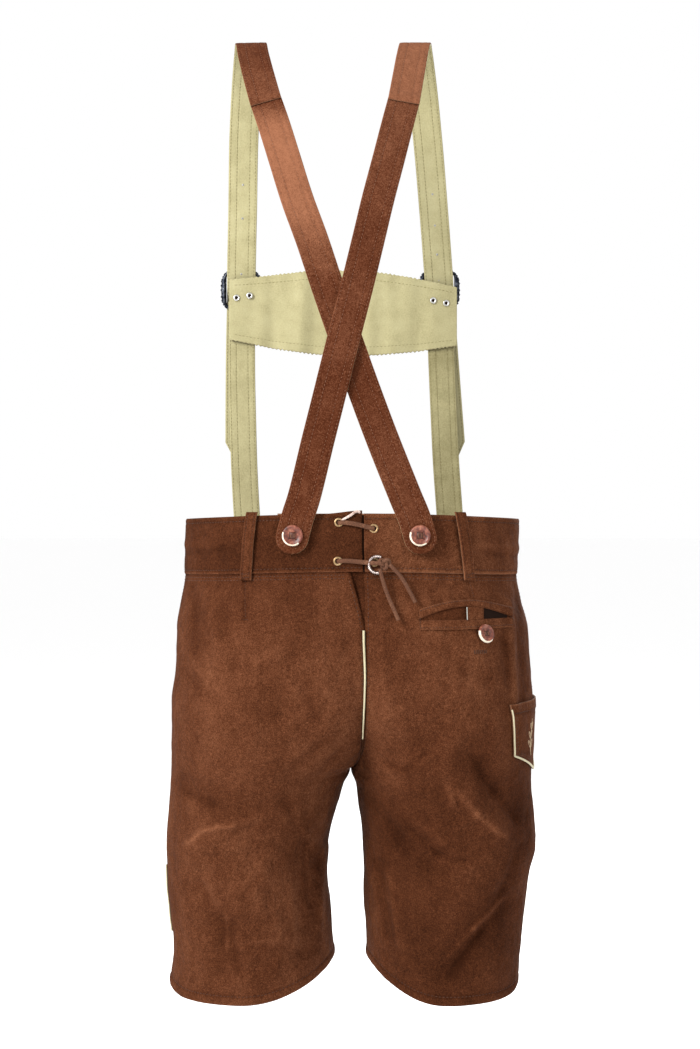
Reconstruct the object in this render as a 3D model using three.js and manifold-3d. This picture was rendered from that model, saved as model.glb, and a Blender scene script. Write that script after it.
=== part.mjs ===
// Short leather trousers with H-braces, in worn form, hollow.
// Millimetres, +Z up. The front faces -Y and the wearer's left is +X.
// The origin is where the shoulders carry the braces: mid-plane, at the underside of the strap crests.
import * as THREE from 'three';
import { mergeVertices } from 'three/addons/utils/BufferGeometryUtils.js';
import Module from 'manifold-3d';

// ---- Driving dimensions -------------------------------------------------------------------------
const LEATHER = 2.0; // suede wall of the shorts
const BAND = 3.4; // doubled waistband wall
const SEAM = 0.3; // gap between pieces that meet
const BAND_PROUD = 1.4; // the waistband stands this far outside the panels
const PANEL_COLUMNS = 13;
const WAIST_TOP = -499;
const WAIST_JOIN = -557; // lower edge of the waistband at the centre back
const HEM_LOW = -995;
const HEM_RISE = 27; // the hem is this much higher at the inseam
const HEM_SIDE_RISE = 5; // and this much at the side seam
const HEM_TURN = { left: [0.05, 0.56], right: [0.1, 0.52] }; // shares of the ring over which it falls
const VENT_FOOT = -611; // foot of the V under the laced split
const VENT_OPEN = 13; // width of the V where it meets the waistband
const STRAP = { width: 32.6, lowerWidth: 30, leather: 1.4, lining: 1.0 };
const BUTTON_RADIUS = 10.5;
const LACE = { width: 4.6, thick: 1.8 };

// Horizontal sections of the shorts. Each half runs from the centre seam, or the inseam below the
// crotch, over a peak at peakShare of the way out, to the side seam.
const SECTION_COLUMNS = ['z', 'left', 'right', 'sideY', 'seamBack', 'seamFront', 'gapLeft', 'gapRight',
  'innerBack', 'innerFront', 'peakBack', 'peakFront', 'peakShare', 'turn'];
const SECTIONS = [
  [-492, 175.5, 176.5, 6, -10, 2, 0, 0, 117.0, -113.0, 117.0, -113.0, 0.15, 0],
  [-530, 176.5, 175.0, 8, -10, 2, 0, 0, 119.0, -116.0, 119.0, -116.0, 0.18, 0],
  [-560, 177.0, 173.5, 10, -11, 2, 0, 0, 121.0, -118.0, 121.0, -118.0, 0.20, 0],
  [-590, 181.0, 178.0, 12, -12, 2, 0, 0, 123.5, -121.0, 124.5, -121.0, 0.26, 2],
  [-620, 185.5, 185.5, 14, -12, 2, 0, 0, 125.0, -121.0, 128.0, -122.0, 0.34, 6],
  [-655, 186.0, 187.5, 16, -13, 2, 0, 0, 124.0, -117.0, 131.0, -121.0, 0.42, 14],
  [-698, 190.5, 190.0, 18, -12, 2, 0, 0, 114.0, -103.0, 131.0, -118.0, 0.47, 34],
  [-735, 191.0, 188.5, 18, -10, 2, 0, 0, 86.0, -76.0, 127.0, -114.0, 0.50, 62],
  [-758, 191.0, 188.5, 18, -4, 2, 0, 0, 46.0, -40.0, 122.0, -111.0, 0.50, 84],
  [-770, 191.0, 188.5, 18, 2, 2, 0, 0, 0.3, -0.3, 119.0, -109.0, 0.50, 90],
  [-785, 191.5, 189.0, 18, 2, 2, 7, 5, 0.3, -0.3, 116.0, -107.0, 0.50, 90],
  [-805, 193.0, 190.5, 18, 2, 2, 13, 8, 0.3, -0.3, 113.0, -106.0, 0.50, 90],
  [-847, 195.5, 193.0, 18, 2, 2, 24, 13.5, 0.3, -0.3, 108.0, -103.0, 0.50, 90],
  [-880, 195.0, 186.0, 18, 2, 2, 25, 13.5, 0.3, -0.3, 105.0, -101.0, 0.50, 90],
  [-912, 192.5, 181.5, 18, 2, 2, 21, 14.5, 0.3, -0.3, 103.0, -100.0, 0.50, 90],
  [-954, 188.5, 178.0, 18, 2, 2, 18, 16.5, 0.3, -0.3, 101.0, -99.0, 0.50, 90],
  [-1002, 194.0, 174.0, 18, 2, 2, 14, 15.5, 0.3, -0.3, 100.0, -98.0, 0.50, 90],
];

// Largest folds: a soft trough (negative height) or ridge along a line in the X-Z plane of one half.
const FOLD_COLUMNS = ['half', 'x1', 'z1', 'x2', 'z2', 'height', 'reach'];
const FOLDS = [
  ['back', 162, -776, 104, -799, -4.0, 17],
  ['back', 168, -838, 116, -806, 3.5, 17],
  ['back', 154, -880, 132, -914, -4.5, 15],
  ['back', 134, -911, 128, -958, -3.5, 14],
  ['back', 90, -866, 120, -900, 3.0, 15],
  ['back', 42, -839, 50, -945, -4.0, 14],
  ['back', -120, -740, -166, -805, -5.0, 15],
  ['back', -104, -778, -149, -819, 4.0, 14],
  ['back', -45, -826, -88, -855, -4.0, 15],
  ['back', -154, -894, -92, -966, -4.5, 15],
  ['back', -36, -743, -78, -718, -3.0, 16],
  ['front', 30, -742, 84, -716, -4.0, 15],
  ['front', -28, -748, -92, -725, -4.5, 15],
  ['front', 40, -775, 110, -790, -4.0, 16],
  ['front', -36, -780, -120, -812, -4.5, 16],
  ['front', 150, -820, 100, -860, 3.5, 17],
  ['front', -150, -850, -96, -905, 4.0, 17],
  ['front', 140, -900, 104, -950, -4.0, 15],
  ['front', -70, -905, -110, -950, -4.0, 15],
];

// Brace routes along the body side of the strap, from one end to the other.
const ROUTES = {
  backLeft: [ // left shoulder to the right back button, under the other strap
    [-71.2, 121.6, -539], [-66.5, 121.4, -521], [-61, 121.4, -503], [-52.7, 121.6, -483], [-30, 120.5, -426],
    [-15, 119, -386], [5, 116.8, -330], [24, 113.5, -275], [40.5, 109.5, -225], [55.2, 104, -184],
    [68.1, 96, -142], [79.6, 85, -104], [88.4, 71.3, -77.6]],
  backRight: [ // right shoulder to the left back button, over the other strap
    [63.4, 121.8, -539], [59.2, 121.6, -521], [54.4, 121.8, -503], [48, 122.4, -483], [34, 123.4, -426],
    [23.9, 123.8, -386], [10, 122.6, -330], [-4, 119, -275], [-16, 113.2, -225], [-25.6, 106.6, -184],
    [-36.3, 98, -142], [-45.6, 85, -104], [-52.3, 71.3, -77.6]],
  shoulderLeft: [ // from the join behind, over the crest, through the buckle, to the free end
    [88.9, 70.4, -76.2], [97, 52, -46], [103.5, 32, -20], [107.9, 8, 0], [111, -16, -4], [114.6, -42, -16],
    [118.4, -66, -40], [121.7, -85, -78], [123.2, -96, -110], [124.2, -103, -146], [125.3, -108, -186],
    [126, -110.6, -212], [126.4, -113.6, -226], [126.8, -117.8, -246], [127.2, -120.9, -262], [127.8, -121.4, -284],
    [128.4, -120.8, -320], [128.8, -121.2, -365], [129, -121.8, -405], [129, -122, -436]],
  shoulderRight: [
    [-52.7, 70.4, -76.2], [-58, 52, -46], [-62.6, 32, -20], [-67.2, 8, 0], [-70.4, -16, -4], [-74.4, -42, -16],
    [-79.4, -66, -40], [-84.7, -85, -78], [-88.4, -96, -110], [-91.8, -103, -146], [-95.3, -108, -186],
    [-97.4, -110.6, -212], [-98.6, -113.6, -226], [-100, -117.8, -246], [-101.2, -120.9, -262],
    [-102.8, -121.8, -284], [-105.6, -122.4, -320], [-109, -123, -365], [-112.2, -123.8, -405],
    [-114.6, -124.2, -436]],
  lowerLeft: [
    [125.9, -110.6, -256], [125.8, -111.6, -300], [125.6, -112.8, -345], [124.6, -114.6, -395], [123.4, -116, -442],
    [121, -117.4, -491], [119.6, -118.2, -512], [118.6, -118.4, -534]],
  lowerRight: [
    [-100.4, -110.6, -256], [-101, -111.6, -300], [-102.8, -112.8, -345], [-105, -114.6, -395], [-107.4, -116, -442],
    [-111, -117.4, -491], [-112.4, -118.2, -512], [-113.4, -118.4, -534]],
};

// Chest bar: edges at three stations across, on the body side of the front straps.
const CHEST_BAR = [ // x, top z, bottom z, y
  [139.5, -231.5, -300, -106.6],
  [75, -224.5, -312, -108.8],
  [11, -221, -318, -109.6],
  [-55, -227, -315, -108.8],
  [-119, -240.5, -307, -106.6],
];

// Free ends of the lace and its crossings, on the centre back.
const LACE_ENDS = {
  lace_end_long: [[-27.0, 129.6, -553.5], [-29.0, 130.0, -562], [-31.6, 130.4, -571], [-34.8, 130.6, -580],
    [-38.6, 130.8, -589], [-42.2, 131.2, -597], [-45.4, 131.6, -604.5]],
  lace_end_short: [[-36.4, 130.4, -549.5], [-42.4, 130.2, -555.5], [-48.4, 129.8, -562.4], [-53.2, 129.4, -570.2],
    [-57.8, 129, -578.6], [-62.2, 128.4, -587]],
};

const EYELETS = { // on the waistband, either side of the split
  lace_eyelet_upper_left: [13.7, -508],
  lace_eyelet_upper_right: [-21.2, -514],
  lace_eyelet_lower_left: [14.6, -546.5],
  lace_eyelet_lower_right: [-22, -547.5],
};
const BAR_EYELETS = { // x, z on the chest bar
  bar_eyelet_left_outer: [131.4, -252.5],
  bar_eyelet_left_inner: [116.6, -250],
  bar_eyelet_right_outer: [-106.8, -258.5],
  bar_eyelet_right_inner: [-92, -255.5],
};

const FINISH = {
  suede: { color: 0x6a3f28, roughness: 0.95, metalness: 0 },
  strap: { color: 0x7c432c, roughness: 0.9, metalness: 0 },
  cream: { color: 0xe2dcb2, roughness: 0.85, metalness: 0 },
  piping: { color: 0xe8dfae, roughness: 0.7, metalness: 0 },
  horn: { color: 0x8a4a34, roughness: 0.45, metalness: 0 },
  lace: { color: 0x5e3826, roughness: 0.9, metalness: 0 },
  brass: { color: 0x9a7a50, roughness: 0.4, metalness: 0.9 },
  nickel: { color: 0xc9c9c6, roughness: 0.3, metalness: 1 },
  buckle: { color: 0x4a4c50, roughness: 0.4, metalness: 0.9 },
};

// ---- Meshes and small helpers ---------------------------------------------------------------------
const wasm = await Module();
wasm.setup();
const group = new THREE.Group();

function addMesh(name, finish, geometry) {
  const mesh = new THREE.Mesh(geometry, new THREE.MeshStandardMaterial(FINISH[finish]));
  mesh.name = name;
  group.add(mesh);
  return mesh;
}

const clamp01 = (t) => Math.min(1, Math.max(0, t));
const mix = (a, b, t) => a + (b - a) * t;
function smooth(from, to, t) {
  const s = clamp01((t - from) / (to - from));
  return s * s * (3 - 2 * s);
}

// Closed body from rings of equal length, each ring a loop of points, with flat ends. The diagonals of
// the second half of a ring mirror the first's, so that flat strips that twist together stay parallel.
function loft(rings) {
  const count = rings[0].length;
  const positions = rings.flat().flatMap((p) => [p.x, p.y, p.z]);
  const faces = [];
  for (let i = 0; i + 1 < rings.length; i++) {
    for (let j = 0; j < count; j++) {
      const a = i * count + j;
      const b = i * count + ((j + 1) % count);
      if (j < count / 2) faces.push([a, b, b + count], [a, b + count, a + count]);
      else faces.push([a, b, a + count], [b, b + count, a + count]);
    }
  }
  const last = (rings.length - 1) * count;
  for (let j = 1; j + 1 < count; j++) {
    faces.push([0, j + 1, j], [last, last + j, last + j + 1]);
  }
  return closedGeometry(positions, faces);
}

// Closed wall between an outer and an inner grid of points, both [row][column].
function wall(outer, inner) {
  const rows = outer.length;
  const columns = outer[0].length;
  const half = rows * columns;
  const positions = [outer, inner].flat(2).flatMap((p) => [p.x, p.y, p.z]);
  const at = (r, c) => r * columns + c;
  const faces = [];
  const quad = (a, b, c, d) => faces.push([a, b, c], [a, c, d]);
  for (let r = 0; r + 1 < rows; r++) {
    for (let c = 0; c + 1 < columns; c++) {
      quad(at(r, c), at(r, c + 1), at(r + 1, c + 1), at(r + 1, c));
      quad(half + at(r, c), half + at(r + 1, c), half + at(r + 1, c + 1), half + at(r, c + 1));
    }
  }
  const border = [];
  for (let c = 0; c < columns; c++) border.push(at(0, c));
  for (let r = 1; r < rows; r++) border.push(at(r, columns - 1));
  for (let c = columns - 2; c >= 0; c--) border.push(at(rows - 1, c));
  for (let r = rows - 2; r > 0; r--) border.push(at(r, 0));
  border.forEach((a, i) => {
    const b = border[(i + 1) % border.length];
    quad(b, a, half + a, half + b);
  });
  return closedGeometry(positions, faces);
}

// Turns the faces outwards where the signed volume says that they point in.
function closedGeometry(positions, faces) {
  const at = (i) => new THREE.Vector3().fromArray(positions, 3 * i);
  let volume = 0;
  for (const [a, b, c] of faces) volume += at(a).dot(at(b).cross(at(c)));
  const index = faces.flatMap(([a, b, c]) => (volume < 0 ? [a, c, b] : [a, b, c]));
  const geometry = new THREE.BufferGeometry();
  geometry.setAttribute('position', new THREE.Float32BufferAttribute(positions, 3));
  geometry.setIndex(index);
  geometry.computeVertexNormals();
  return geometry;
}

// ---- The surface of the shorts --------------------------------------------------------------------
// Value of each section column at height z, by a monotone cubic, so that no column overshoots.
function sectionAt(z) {
  const zs = SECTIONS.map((row) => row[0]);
  const last = zs.length - 1;
  const clamped = Math.max(zs[last], Math.min(zs[0], z));
  let k = 0;
  while (k < last - 1 && clamped < zs[k + 1]) k++;
  const span = zs[k + 1] - zs[k];
  const t = (clamped - zs[k]) / span;
  const section = {};
  SECTION_COLUMNS.forEach((name, c) => {
    const value = (i) => SECTIONS[i][c];
    const secant = (i) => (value(i + 1) - value(i)) / (zs[i + 1] - zs[i]);
    const slope = (i) => {
      if (i === 0) return secant(0);
      if (i === last) return secant(last - 1);
      const product = secant(i - 1) * secant(i);
      return product <= 0 ? 0 : (2 * product) / (secant(i - 1) + secant(i));
    };
    const t2 = t * t;
    const t3 = t2 * t;
    section[name] = (2 * t3 - 3 * t2 + 1) * value(k) + (t3 - 2 * t2 + t) * span * slope(k)
      + (3 * t2 - 2 * t3) * value(k + 1) + (t3 - t2) * span * slope(k + 1);
  });
  return section;
}

// One half's section as a polyline with equal steps, from the inner edge to the side seam.
const RING_STEPS = 96;
const ringCache = new Map();
function ringAt(side, half, z) {
  const key = `${side} ${half} ${z.toFixed(3)}`;
  if (!ringCache.has(key)) ringCache.set(key, makeRing(side, half, z));
  return ringCache.get(key);
}

function makeRing(side, half, z) {
  const s = sectionAt(z);
  const sign = side === 'left' ? 1 : -1;
  const front = half === 'front';
  const innerX = (front ? s.seamFront : s.seamBack) + sign * (side === 'left' ? s.gapLeft : s.gapRight);
  const start = new THREE.Vector2(sign * innerX, front ? -s.innerFront : s.innerBack);
  const width = side === 'left' ? s.left : s.right;
  const peak = new THREE.Vector2(mix(start.x, width, s.peakShare), front ? -s.peakFront : s.peakBack);
  const sideY = front ? -s.sideY : s.sideY;
  const turn = THREE.MathUtils.degToRad(s.turn);
  const rise = peak.y - start.y;
  const run = peak.x - start.x;
  const pull = 0.55 * mix(run, Math.max(rise, run * 0.5), Math.sin(turn));
  const inner = new THREE.CubicBezierCurve(
    start,
    new THREE.Vector2(start.x + Math.cos(turn) * pull, start.y + Math.sin(turn) * pull),
    new THREE.Vector2(peak.x - 0.55 * run, peak.y),
    peak,
  ).getPoints(40);
  const outer = [];
  for (let i = 1; i <= 48; i++) {
    const angle = (i / 48) * (Math.PI / 2);
    outer.push(new THREE.Vector2(
      peak.x + (width - peak.x) * Math.sin(angle),
      sideY + (peak.y - sideY) * Math.cos(angle),
    ));
  }
  const line = [...inner, ...outer].map((p) => new THREE.Vector2(sign * p.x, front ? -p.y : p.y));
  const lengths = [0];
  for (let i = 1; i < line.length; i++) lengths.push(lengths[i - 1] + line[i].distanceTo(line[i - 1]));
  const total = lengths[lengths.length - 1];
  const points = [];
  let k = 0;
  for (let i = 0; i <= RING_STEPS; i++) {
    const want = (i / RING_STEPS) * total;
    while (k < line.length - 2 && lengths[k + 1] < want) k++;
    points.push(line[k].clone().lerp(line[k + 1], (want - lengths[k]) / (lengths[k + 1] - lengths[k])));
  }
  return { points, total };
}

function ringPoint(ring, u) {
  const at = clamp01(u) * RING_STEPS;
  const i = Math.min(RING_STEPS - 1, Math.floor(at));
  return ring.points[i].clone().lerp(ring.points[i + 1], at - i);
}

function foldHeight(half, u, x, z) {
  let height = 0;
  for (const row of FOLDS) {
    const fold = Object.fromEntries(FOLD_COLUMNS.map((name, i) => [name, row[i]]));
    if (fold.half !== half) continue;
    const dx = fold.x2 - fold.x1;
    const dz = fold.z2 - fold.z1;
    const t = clamp01(((x - fold.x1) * dx + (z - fold.z1) * dz) / (dx * dx + dz * dz));
    const distance = Math.hypot(x - fold.x1 - t * dx, z - fold.z1 - t * dz);
    height += fold.height * Math.exp(-((distance / fold.reach) ** 2));
  }
  return height * smooth(0, 0.1, u) * smooth(1, 0.88, u);
}

// A point of one half, u from 0 at the inner edge to 1 at the side seam, moved out by lift.
function onPanel(side, half, u, z, lift) {
  const ring = ringAt(side, half, z);
  const p = ringPoint(ring, u);
  const step = 1 / RING_STEPS;
  const tangent = ringPoint(ring, u + step).sub(ringPoint(ring, u - step)).normalize();
  const facing = (side === 'left') === (half === 'back') ? 1 : -1;
  const out = lift + foldHeight(half, u, p.x, z);
  return new THREE.Vector3(p.x - facing * tangent.y * out, p.y + facing * tangent.x * out, z);
}

// u of the point of a half that has the given x.
function uAtX(side, half, x, z) {
  const ring = ringAt(side, half, z);
  const sign = side === 'left' ? 1 : -1;
  let low = 0;
  let high = 1;
  for (let i = 0; i < 24; i++) {
    const middle = (low + high) / 2;
    if (sign * ringPoint(ring, middle).x < sign * x) low = middle;
    else high = middle;
  }
  return (low + high) / 2;
}

function onBody(half, x, z, lift) {
  const s = sectionAt(z);
  const seam = half === 'back' ? s.seamBack : s.seamFront;
  const side = x >= seam ? 'left' : 'right';
  return onPanel(side, half, uAtX(side, half, x, z), z, lift);
}

// A point beside a side seam: along is the distance from the seam, positive towards the back.
function onSide(side, along, z, lift) {
  const half = along >= 0 ? 'back' : 'front';
  const ring = ringAt(side, half, z);
  return onPanel(side, half, 1 - Math.abs(along) / ring.total, z, lift);
}

// ---- Shorts ---------------------------------------------------------------------------------------
const waistTopAt = (u) => WAIST_TOP - 5 * smooth(0, 1, u);
const waistJoinAt = (u) => WAIST_JOIN - 5 * smooth(0, 1, u);
const hemAt = (side, u) => HEM_LOW + HEM_RISE * (1 - smooth(...HEM_TURN[side], u))
  + HEM_SIDE_RISE * smooth(0.78, 1, u);
const PANEL_ROWS = [0, 26, 54, 84, 114, 142, 166, 186, 202, 213, 229, 250, 276, 304, 334, 366, 402, 438];

// Each u is pulled in from both edges by half a seam gap.
function seamU(side, half, u, z) {
  const edge = SEAM / 2 / ringAt(side, half, z).total;
  return mix(edge, 1 - edge, u);
}

function panelGrid(side, half, lift) {
  const depth = WAIST_JOIN - HEM_LOW;
  const vent = side === 'left' && half === 'back';
  return PANEL_ROWS.map((down) => {
    const row = [];
    for (let c = 0; c <= PANEL_COLUMNS; c++) {
      const u = c / PANEL_COLUMNS;
      const top = waistJoinAt(u) - SEAM;
      const hem = hemAt(side, u);
      const near = WAIST_JOIN - down;
      const z = near + (top - WAIST_JOIN) * (1 - smooth(0, 80, down))
        + (hem - HEM_LOW) * smooth(depth - 110, depth, down);
      let along = seamU(side, half, u, z);
      if (vent) {
        const open = VENT_OPEN * clamp01((z - VENT_FOOT) / (WAIST_JOIN - VENT_FOOT));
        along = mix(along, along + open / ringAt(side, half, z).total, 1 - u);
      }
      row.push(onPanel(side, half, along, z, lift));
    }
    return row;
  });
}

function bandGrid(side, half, lift) {
  const steps = [0, 0.5, 1];
  return steps.map((t) => {
    const row = [];
    for (let c = 0; c <= PANEL_COLUMNS; c++) {
      const u = c / PANEL_COLUMNS;
      const z = mix(waistTopAt(u), waistJoinAt(u), t);
      row.push(onPanel(side, half, seamU(side, half, u, z), z, lift));
    }
    return row;
  });
}

for (const half of ['back', 'front']) {
  for (const side of ['left', 'right']) {
    addMesh(`${half}_panel_${side}`, 'suede', wall(panelGrid(side, half, 0), panelGrid(side, half, -LEATHER)));
    addMesh(`waistband_${half}_${side}`, 'suede',
      wall(bandGrid(side, half, BAND_PROUD), bandGrid(side, half, BAND_PROUD - BAND)));
  }
}

// A patch laid on one half: columns across in x, rows down in z, between two lifts.
function bodyPatch(half, xs, zsAt, lowLift, highLift) {
  const grid = (lift) => [0, 1, 2, 3].map((r) => xs.map((x) => {
    const [top, bottom] = zsAt(x);
    return onBody(half, x, mix(top, bottom, r / 3), lift);
  }));
  return wall(grid(highLift), grid(lowLift));
}
const spread = (from, to, count) => Array.from({ length: count + 1 }, (_, i) => mix(from, to, i / count));

// Gusset behind the V of the laced split.
addMesh('back_gusset', 'suede', bodyPatch('back', spread(-22, 14, 5), () => [WAIST_JOIN - 4, VENT_FOOT - 12],
  -LEATHER - SEAM - 2.0, -LEATHER - SEAM - 0.6));

// A four-sided bead of piping along a surface: placeAt(t) gives a function of offset and lift.
function bead(placeAt, count, width, low, high) {
  return loft(spread(0, 1, count).map((t) => {
    const at = placeAt(t);
    return [at(-width / 2, low), at(width / 2, low), at(width / 2, high), at(-width / 2, high)];
  }));
}

const LIE = 0.4; // clearance under a piece that lies on a panel

// Piping along the centre back seam, from the foot of the V to above the crotch.
addMesh('centre_back_piping', 'piping', bead((t) => {
  const z = mix(VENT_FOOT - 4, -726, t);
  const s = sectionAt(z);
  return (offset, lift) => onBody('back', s.seamBack + offset, z, lift);
}, 10, 2.6, LIE, LIE + 1.2));

// Piping in the slit at the foot of each side seam: along is its place beside the seam.
for (const [side, along] of [['left', 7], ['right', -8]]) {
  addMesh(`side_vent_piping_${side}`, 'piping', bead((t) => {
    const z = mix(-872, -936, t);
    return (offset, lift) => onSide(side, along + offset, z, lift);
  }, 6, 2.0, LIE, LIE + 1.1));
}

// ---- Back pocket ----------------------------------------------------------------------------------
const POCKET = { left: -66.5, right: -160.5 };
const WELT_LIE = 0.8; // the welts bridge the curve of the hip
const pocketArch = (x) => {
  const t = (x - POCKET.left) / (POCKET.right - POCKET.left);
  return Math.sin(Math.PI * clamp01(t));
};
addMesh('pocket_welt_upper', 'suede', bodyPatch('back', spread(POCKET.left, POCKET.right, 16),
  (x) => [-594.5 + 9 * pocketArch(x), -603 + 11 * pocketArch(x)], WELT_LIE, WELT_LIE + 1.9));
addMesh('pocket_welt_lower', 'suede', bodyPatch('back', spread(POCKET.left - 0.8, POCKET.right - 0.6, 14),
  () => [-604.2, -613.8], WELT_LIE, WELT_LIE + 1.9));
addMesh('pocket_tab', 'suede', bodyPatch('back', spread(-113.5, -131, 3),
  () => [-594.5, -603.8], LIE, LIE + 1.5));

// Turned button: low dome with a rolled rim, laid with its axis along the given direction.
function buttonGeometry(radius) {
  const profile = [[0, 0], [radius * 0.86, 0], [radius, 1.2], [radius, 2.3], [radius * 0.84, 3.4],
    [radius * 0.7, 2.7], [0, 2.7]];
  return new THREE.LatheGeometry(profile.map(([r, h]) => new THREE.Vector2(r, h)), 14);
}

function placeOn(mesh, position, outward) {
  mesh.position.copy(position);
  mesh.quaternion.setFromUnitVectors(new THREE.Vector3(0, 1, 0), outward.clone().normalize());
  return mesh;
}

function bodyNormal(half, x, z) {
  const step = 3;
  const dx = onBody(half, x + step, z, 0).sub(onBody(half, x - step, z, 0));
  const dz = onBody(half, x, z + step, 0).sub(onBody(half, x, z - step, 0));
  const normal = half === 'back' ? dz.cross(dx) : dx.cross(dz);
  return normal.normalize();
}

const POCKET_BUTTON = [-131, -620]; // over the lower welt
placeOn(addMesh('pocket_button', 'horn', buttonGeometry(9.4)),
  onBody('back', ...POCKET_BUTTON, WELT_LIE + 2.3), bodyNormal('back', ...POCKET_BUTTON));

// ---- Side pocket with a pointed foot, across the right side seam -----------------------------------
const KNIFE_POCKET = { back: 94, front: -50, top: -691, shoulder: -744, point: -766, middle: 19 };
const knifeFoot = (along) => {
  const reach = along > KNIFE_POCKET.middle ? KNIFE_POCKET.back : KNIFE_POCKET.front;
  const t = clamp01((along - KNIFE_POCKET.middle) / (reach - KNIFE_POCKET.middle));
  return mix(KNIFE_POCKET.point, KNIFE_POCKET.shoulder, t);
};
const knifeSteps = [...spread(KNIFE_POCKET.back, KNIFE_POCKET.middle, 6),
  ...spread(KNIFE_POCKET.middle, KNIFE_POCKET.front, 5).slice(1)];
const knifeTaper = (along, z) => along * mix(1, 0.87, clamp01((KNIFE_POCKET.top - z) / 60));
const knifeGrid = (lift) => [0, 1, 2, 3].map((r) => knifeSteps.map((along) => {
  const z = mix(KNIFE_POCKET.top, knifeFoot(along), r / 3);
  return onSide('right', knifeTaper(along, z), z, lift);
}));
const KNIFE_LIE = 0.9; // it bridges the folds under it
addMesh('knife_pocket', 'suede', wall(knifeGrid(KNIFE_LIE + 1.8), knifeGrid(KNIFE_LIE)));

const knifeEdge = [
  [KNIFE_POCKET.back, KNIFE_POCKET.top - 8], [KNIFE_POCKET.back, KNIFE_POCKET.shoulder],
  [KNIFE_POCKET.middle, KNIFE_POCKET.point], [KNIFE_POCKET.front, KNIFE_POCKET.shoulder],
  [KNIFE_POCKET.front, KNIFE_POCKET.top - 8],
];
// Piping frame around the pocket: outer and inner outlines of the same corners.
function frameRing(corners, grow, centre, place) {
  return corners.flatMap(([a, z], i) => {
    const next = corners[Math.min(i + 1, corners.length - 1)];
    const count = i + 1 < corners.length ? 4 : 1;
    return Array.from({ length: count }, (_, k) => {
      const along = mix(a, next[0], k / count);
      const height = mix(z, next[1], k / count);
      const push = new THREE.Vector2(along - centre[0], height - centre[1]).normalize().multiplyScalar(grow);
      const grownZ = height + push.y;
      return place(along + push.x, grownZ);
    });
  });
}
const knifeCentre = [KNIFE_POCKET.middle, KNIFE_POCKET.top - 10];
const knifePiping = (grow, lift) => frameRing(knifeEdge, grow, knifeCentre,
  (along, z) => onSide('right', knifeTaper(along, z), z, lift));
addMesh('knife_pocket_piping', 'piping', wall(
  [knifePiping(3.6, KNIFE_LIE + 2.0), knifePiping(0.9, KNIFE_LIE + 2.0)],
  [knifePiping(3.6, KNIFE_LIE), knifePiping(0.9, KNIFE_LIE)],
));

// ---- Front flap -----------------------------------------------------------------------------------
const FLAP = { half: 82, foot: 70, top: -497.5, shoulder: -640, point: -664, centre: 2 };
const flapLift = BAND_PROUD + LIE;
const flapWidthAt = (z) => mix(FLAP.half, FLAP.foot, clamp01((FLAP.top - z) / (FLAP.top - FLAP.shoulder)));
const flapGrid = (lift) => spread(0, 1, 6).map((down) => spread(-1, 1, 12).map((across) => {
  const foot = mix(FLAP.point, FLAP.shoulder, across * across);
  const z = mix(FLAP.top, foot, down);
  return onBody('front', FLAP.centre + across * flapWidthAt(z), z, lift);
}));
addMesh('front_flap', 'suede', wall(flapGrid(flapLift + 2.0), flapGrid(flapLift)));

const flapPiping = (grow, lift) => [
  ...spread(FLAP.top - 2, FLAP.shoulder, 5).map((z) => [-1, z]),
  ...spread(-1, 1, 12).slice(1, -1).map((across) => [across, mix(FLAP.point, FLAP.shoulder, across * across)]),
  ...spread(FLAP.shoulder, FLAP.top - 2, 5).map((z) => [1, z]),
].map(([across, z]) => {
  const foot = Math.abs(across) < 1 ? grow : grow * smooth(FLAP.shoulder + 30, FLAP.shoulder, z);
  const low = z - foot;
  const wide = flapWidthAt(z) + (Math.abs(across) === 1 ? grow : 0);
  return onBody('front', FLAP.centre + across * wide, low, lift);
});
addMesh('front_flap_piping', 'piping', wall(
  [flapPiping(3.4, flapLift + 2.2), flapPiping(0.8, flapLift + 2.2)],
  [flapPiping(3.4, flapLift), flapPiping(0.8, flapLift)],
));
for (const [side, sign] of [['left', 1], ['right', -1]]) {
  const x = FLAP.centre + sign * (FLAP.half - 18);
  placeOn(addMesh(`flap_button_${side}`, 'horn', buttonGeometry(BUTTON_RADIUS)),
    onBody('front', x, -516, flapLift + 2.0 + 0.6), bodyNormal('front', x, -516));
}

// ---- Belt loops: a flat strip that stands off the band and is caught at its two ends ----------------
const LOOPS = { // half, top, x at the top, x at the bottom
  belt_loop_back_left: ['back', -498, 99.7, 106],
  belt_loop_back_right: ['back', -498, -106.8, -116.4],
  belt_loop_front_left: ['front', -503.5, 146, 148],
  belt_loop_front_right: ['front', -503.5, -144, -146],
};
const LOOP = { width: 11.5, bottom: -565, stand: 3.2, thick: 1.6 };
for (const [name, [half, top, xTop, xBottom]] of Object.entries(LOOPS)) {
  const rings = spread(0, 1, 10).map((t) => {
    const z = mix(top, LOOP.bottom, t);
    const x = mix(xTop, xBottom, t);
    const lift = BAND_PROUD + LIE + LOOP.stand * Math.sin(Math.PI * t) ** 0.5;
    const at = (dx, out) => onBody(half, x + dx, z, lift + out);
    const edge = LOOP.width / 2;
    return [at(-edge, 0), at(edge, 0), at(edge, LOOP.thick), at(-edge, LOOP.thick)];
  });
  addMesh(name, 'suede', loft(rings));
}

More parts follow.
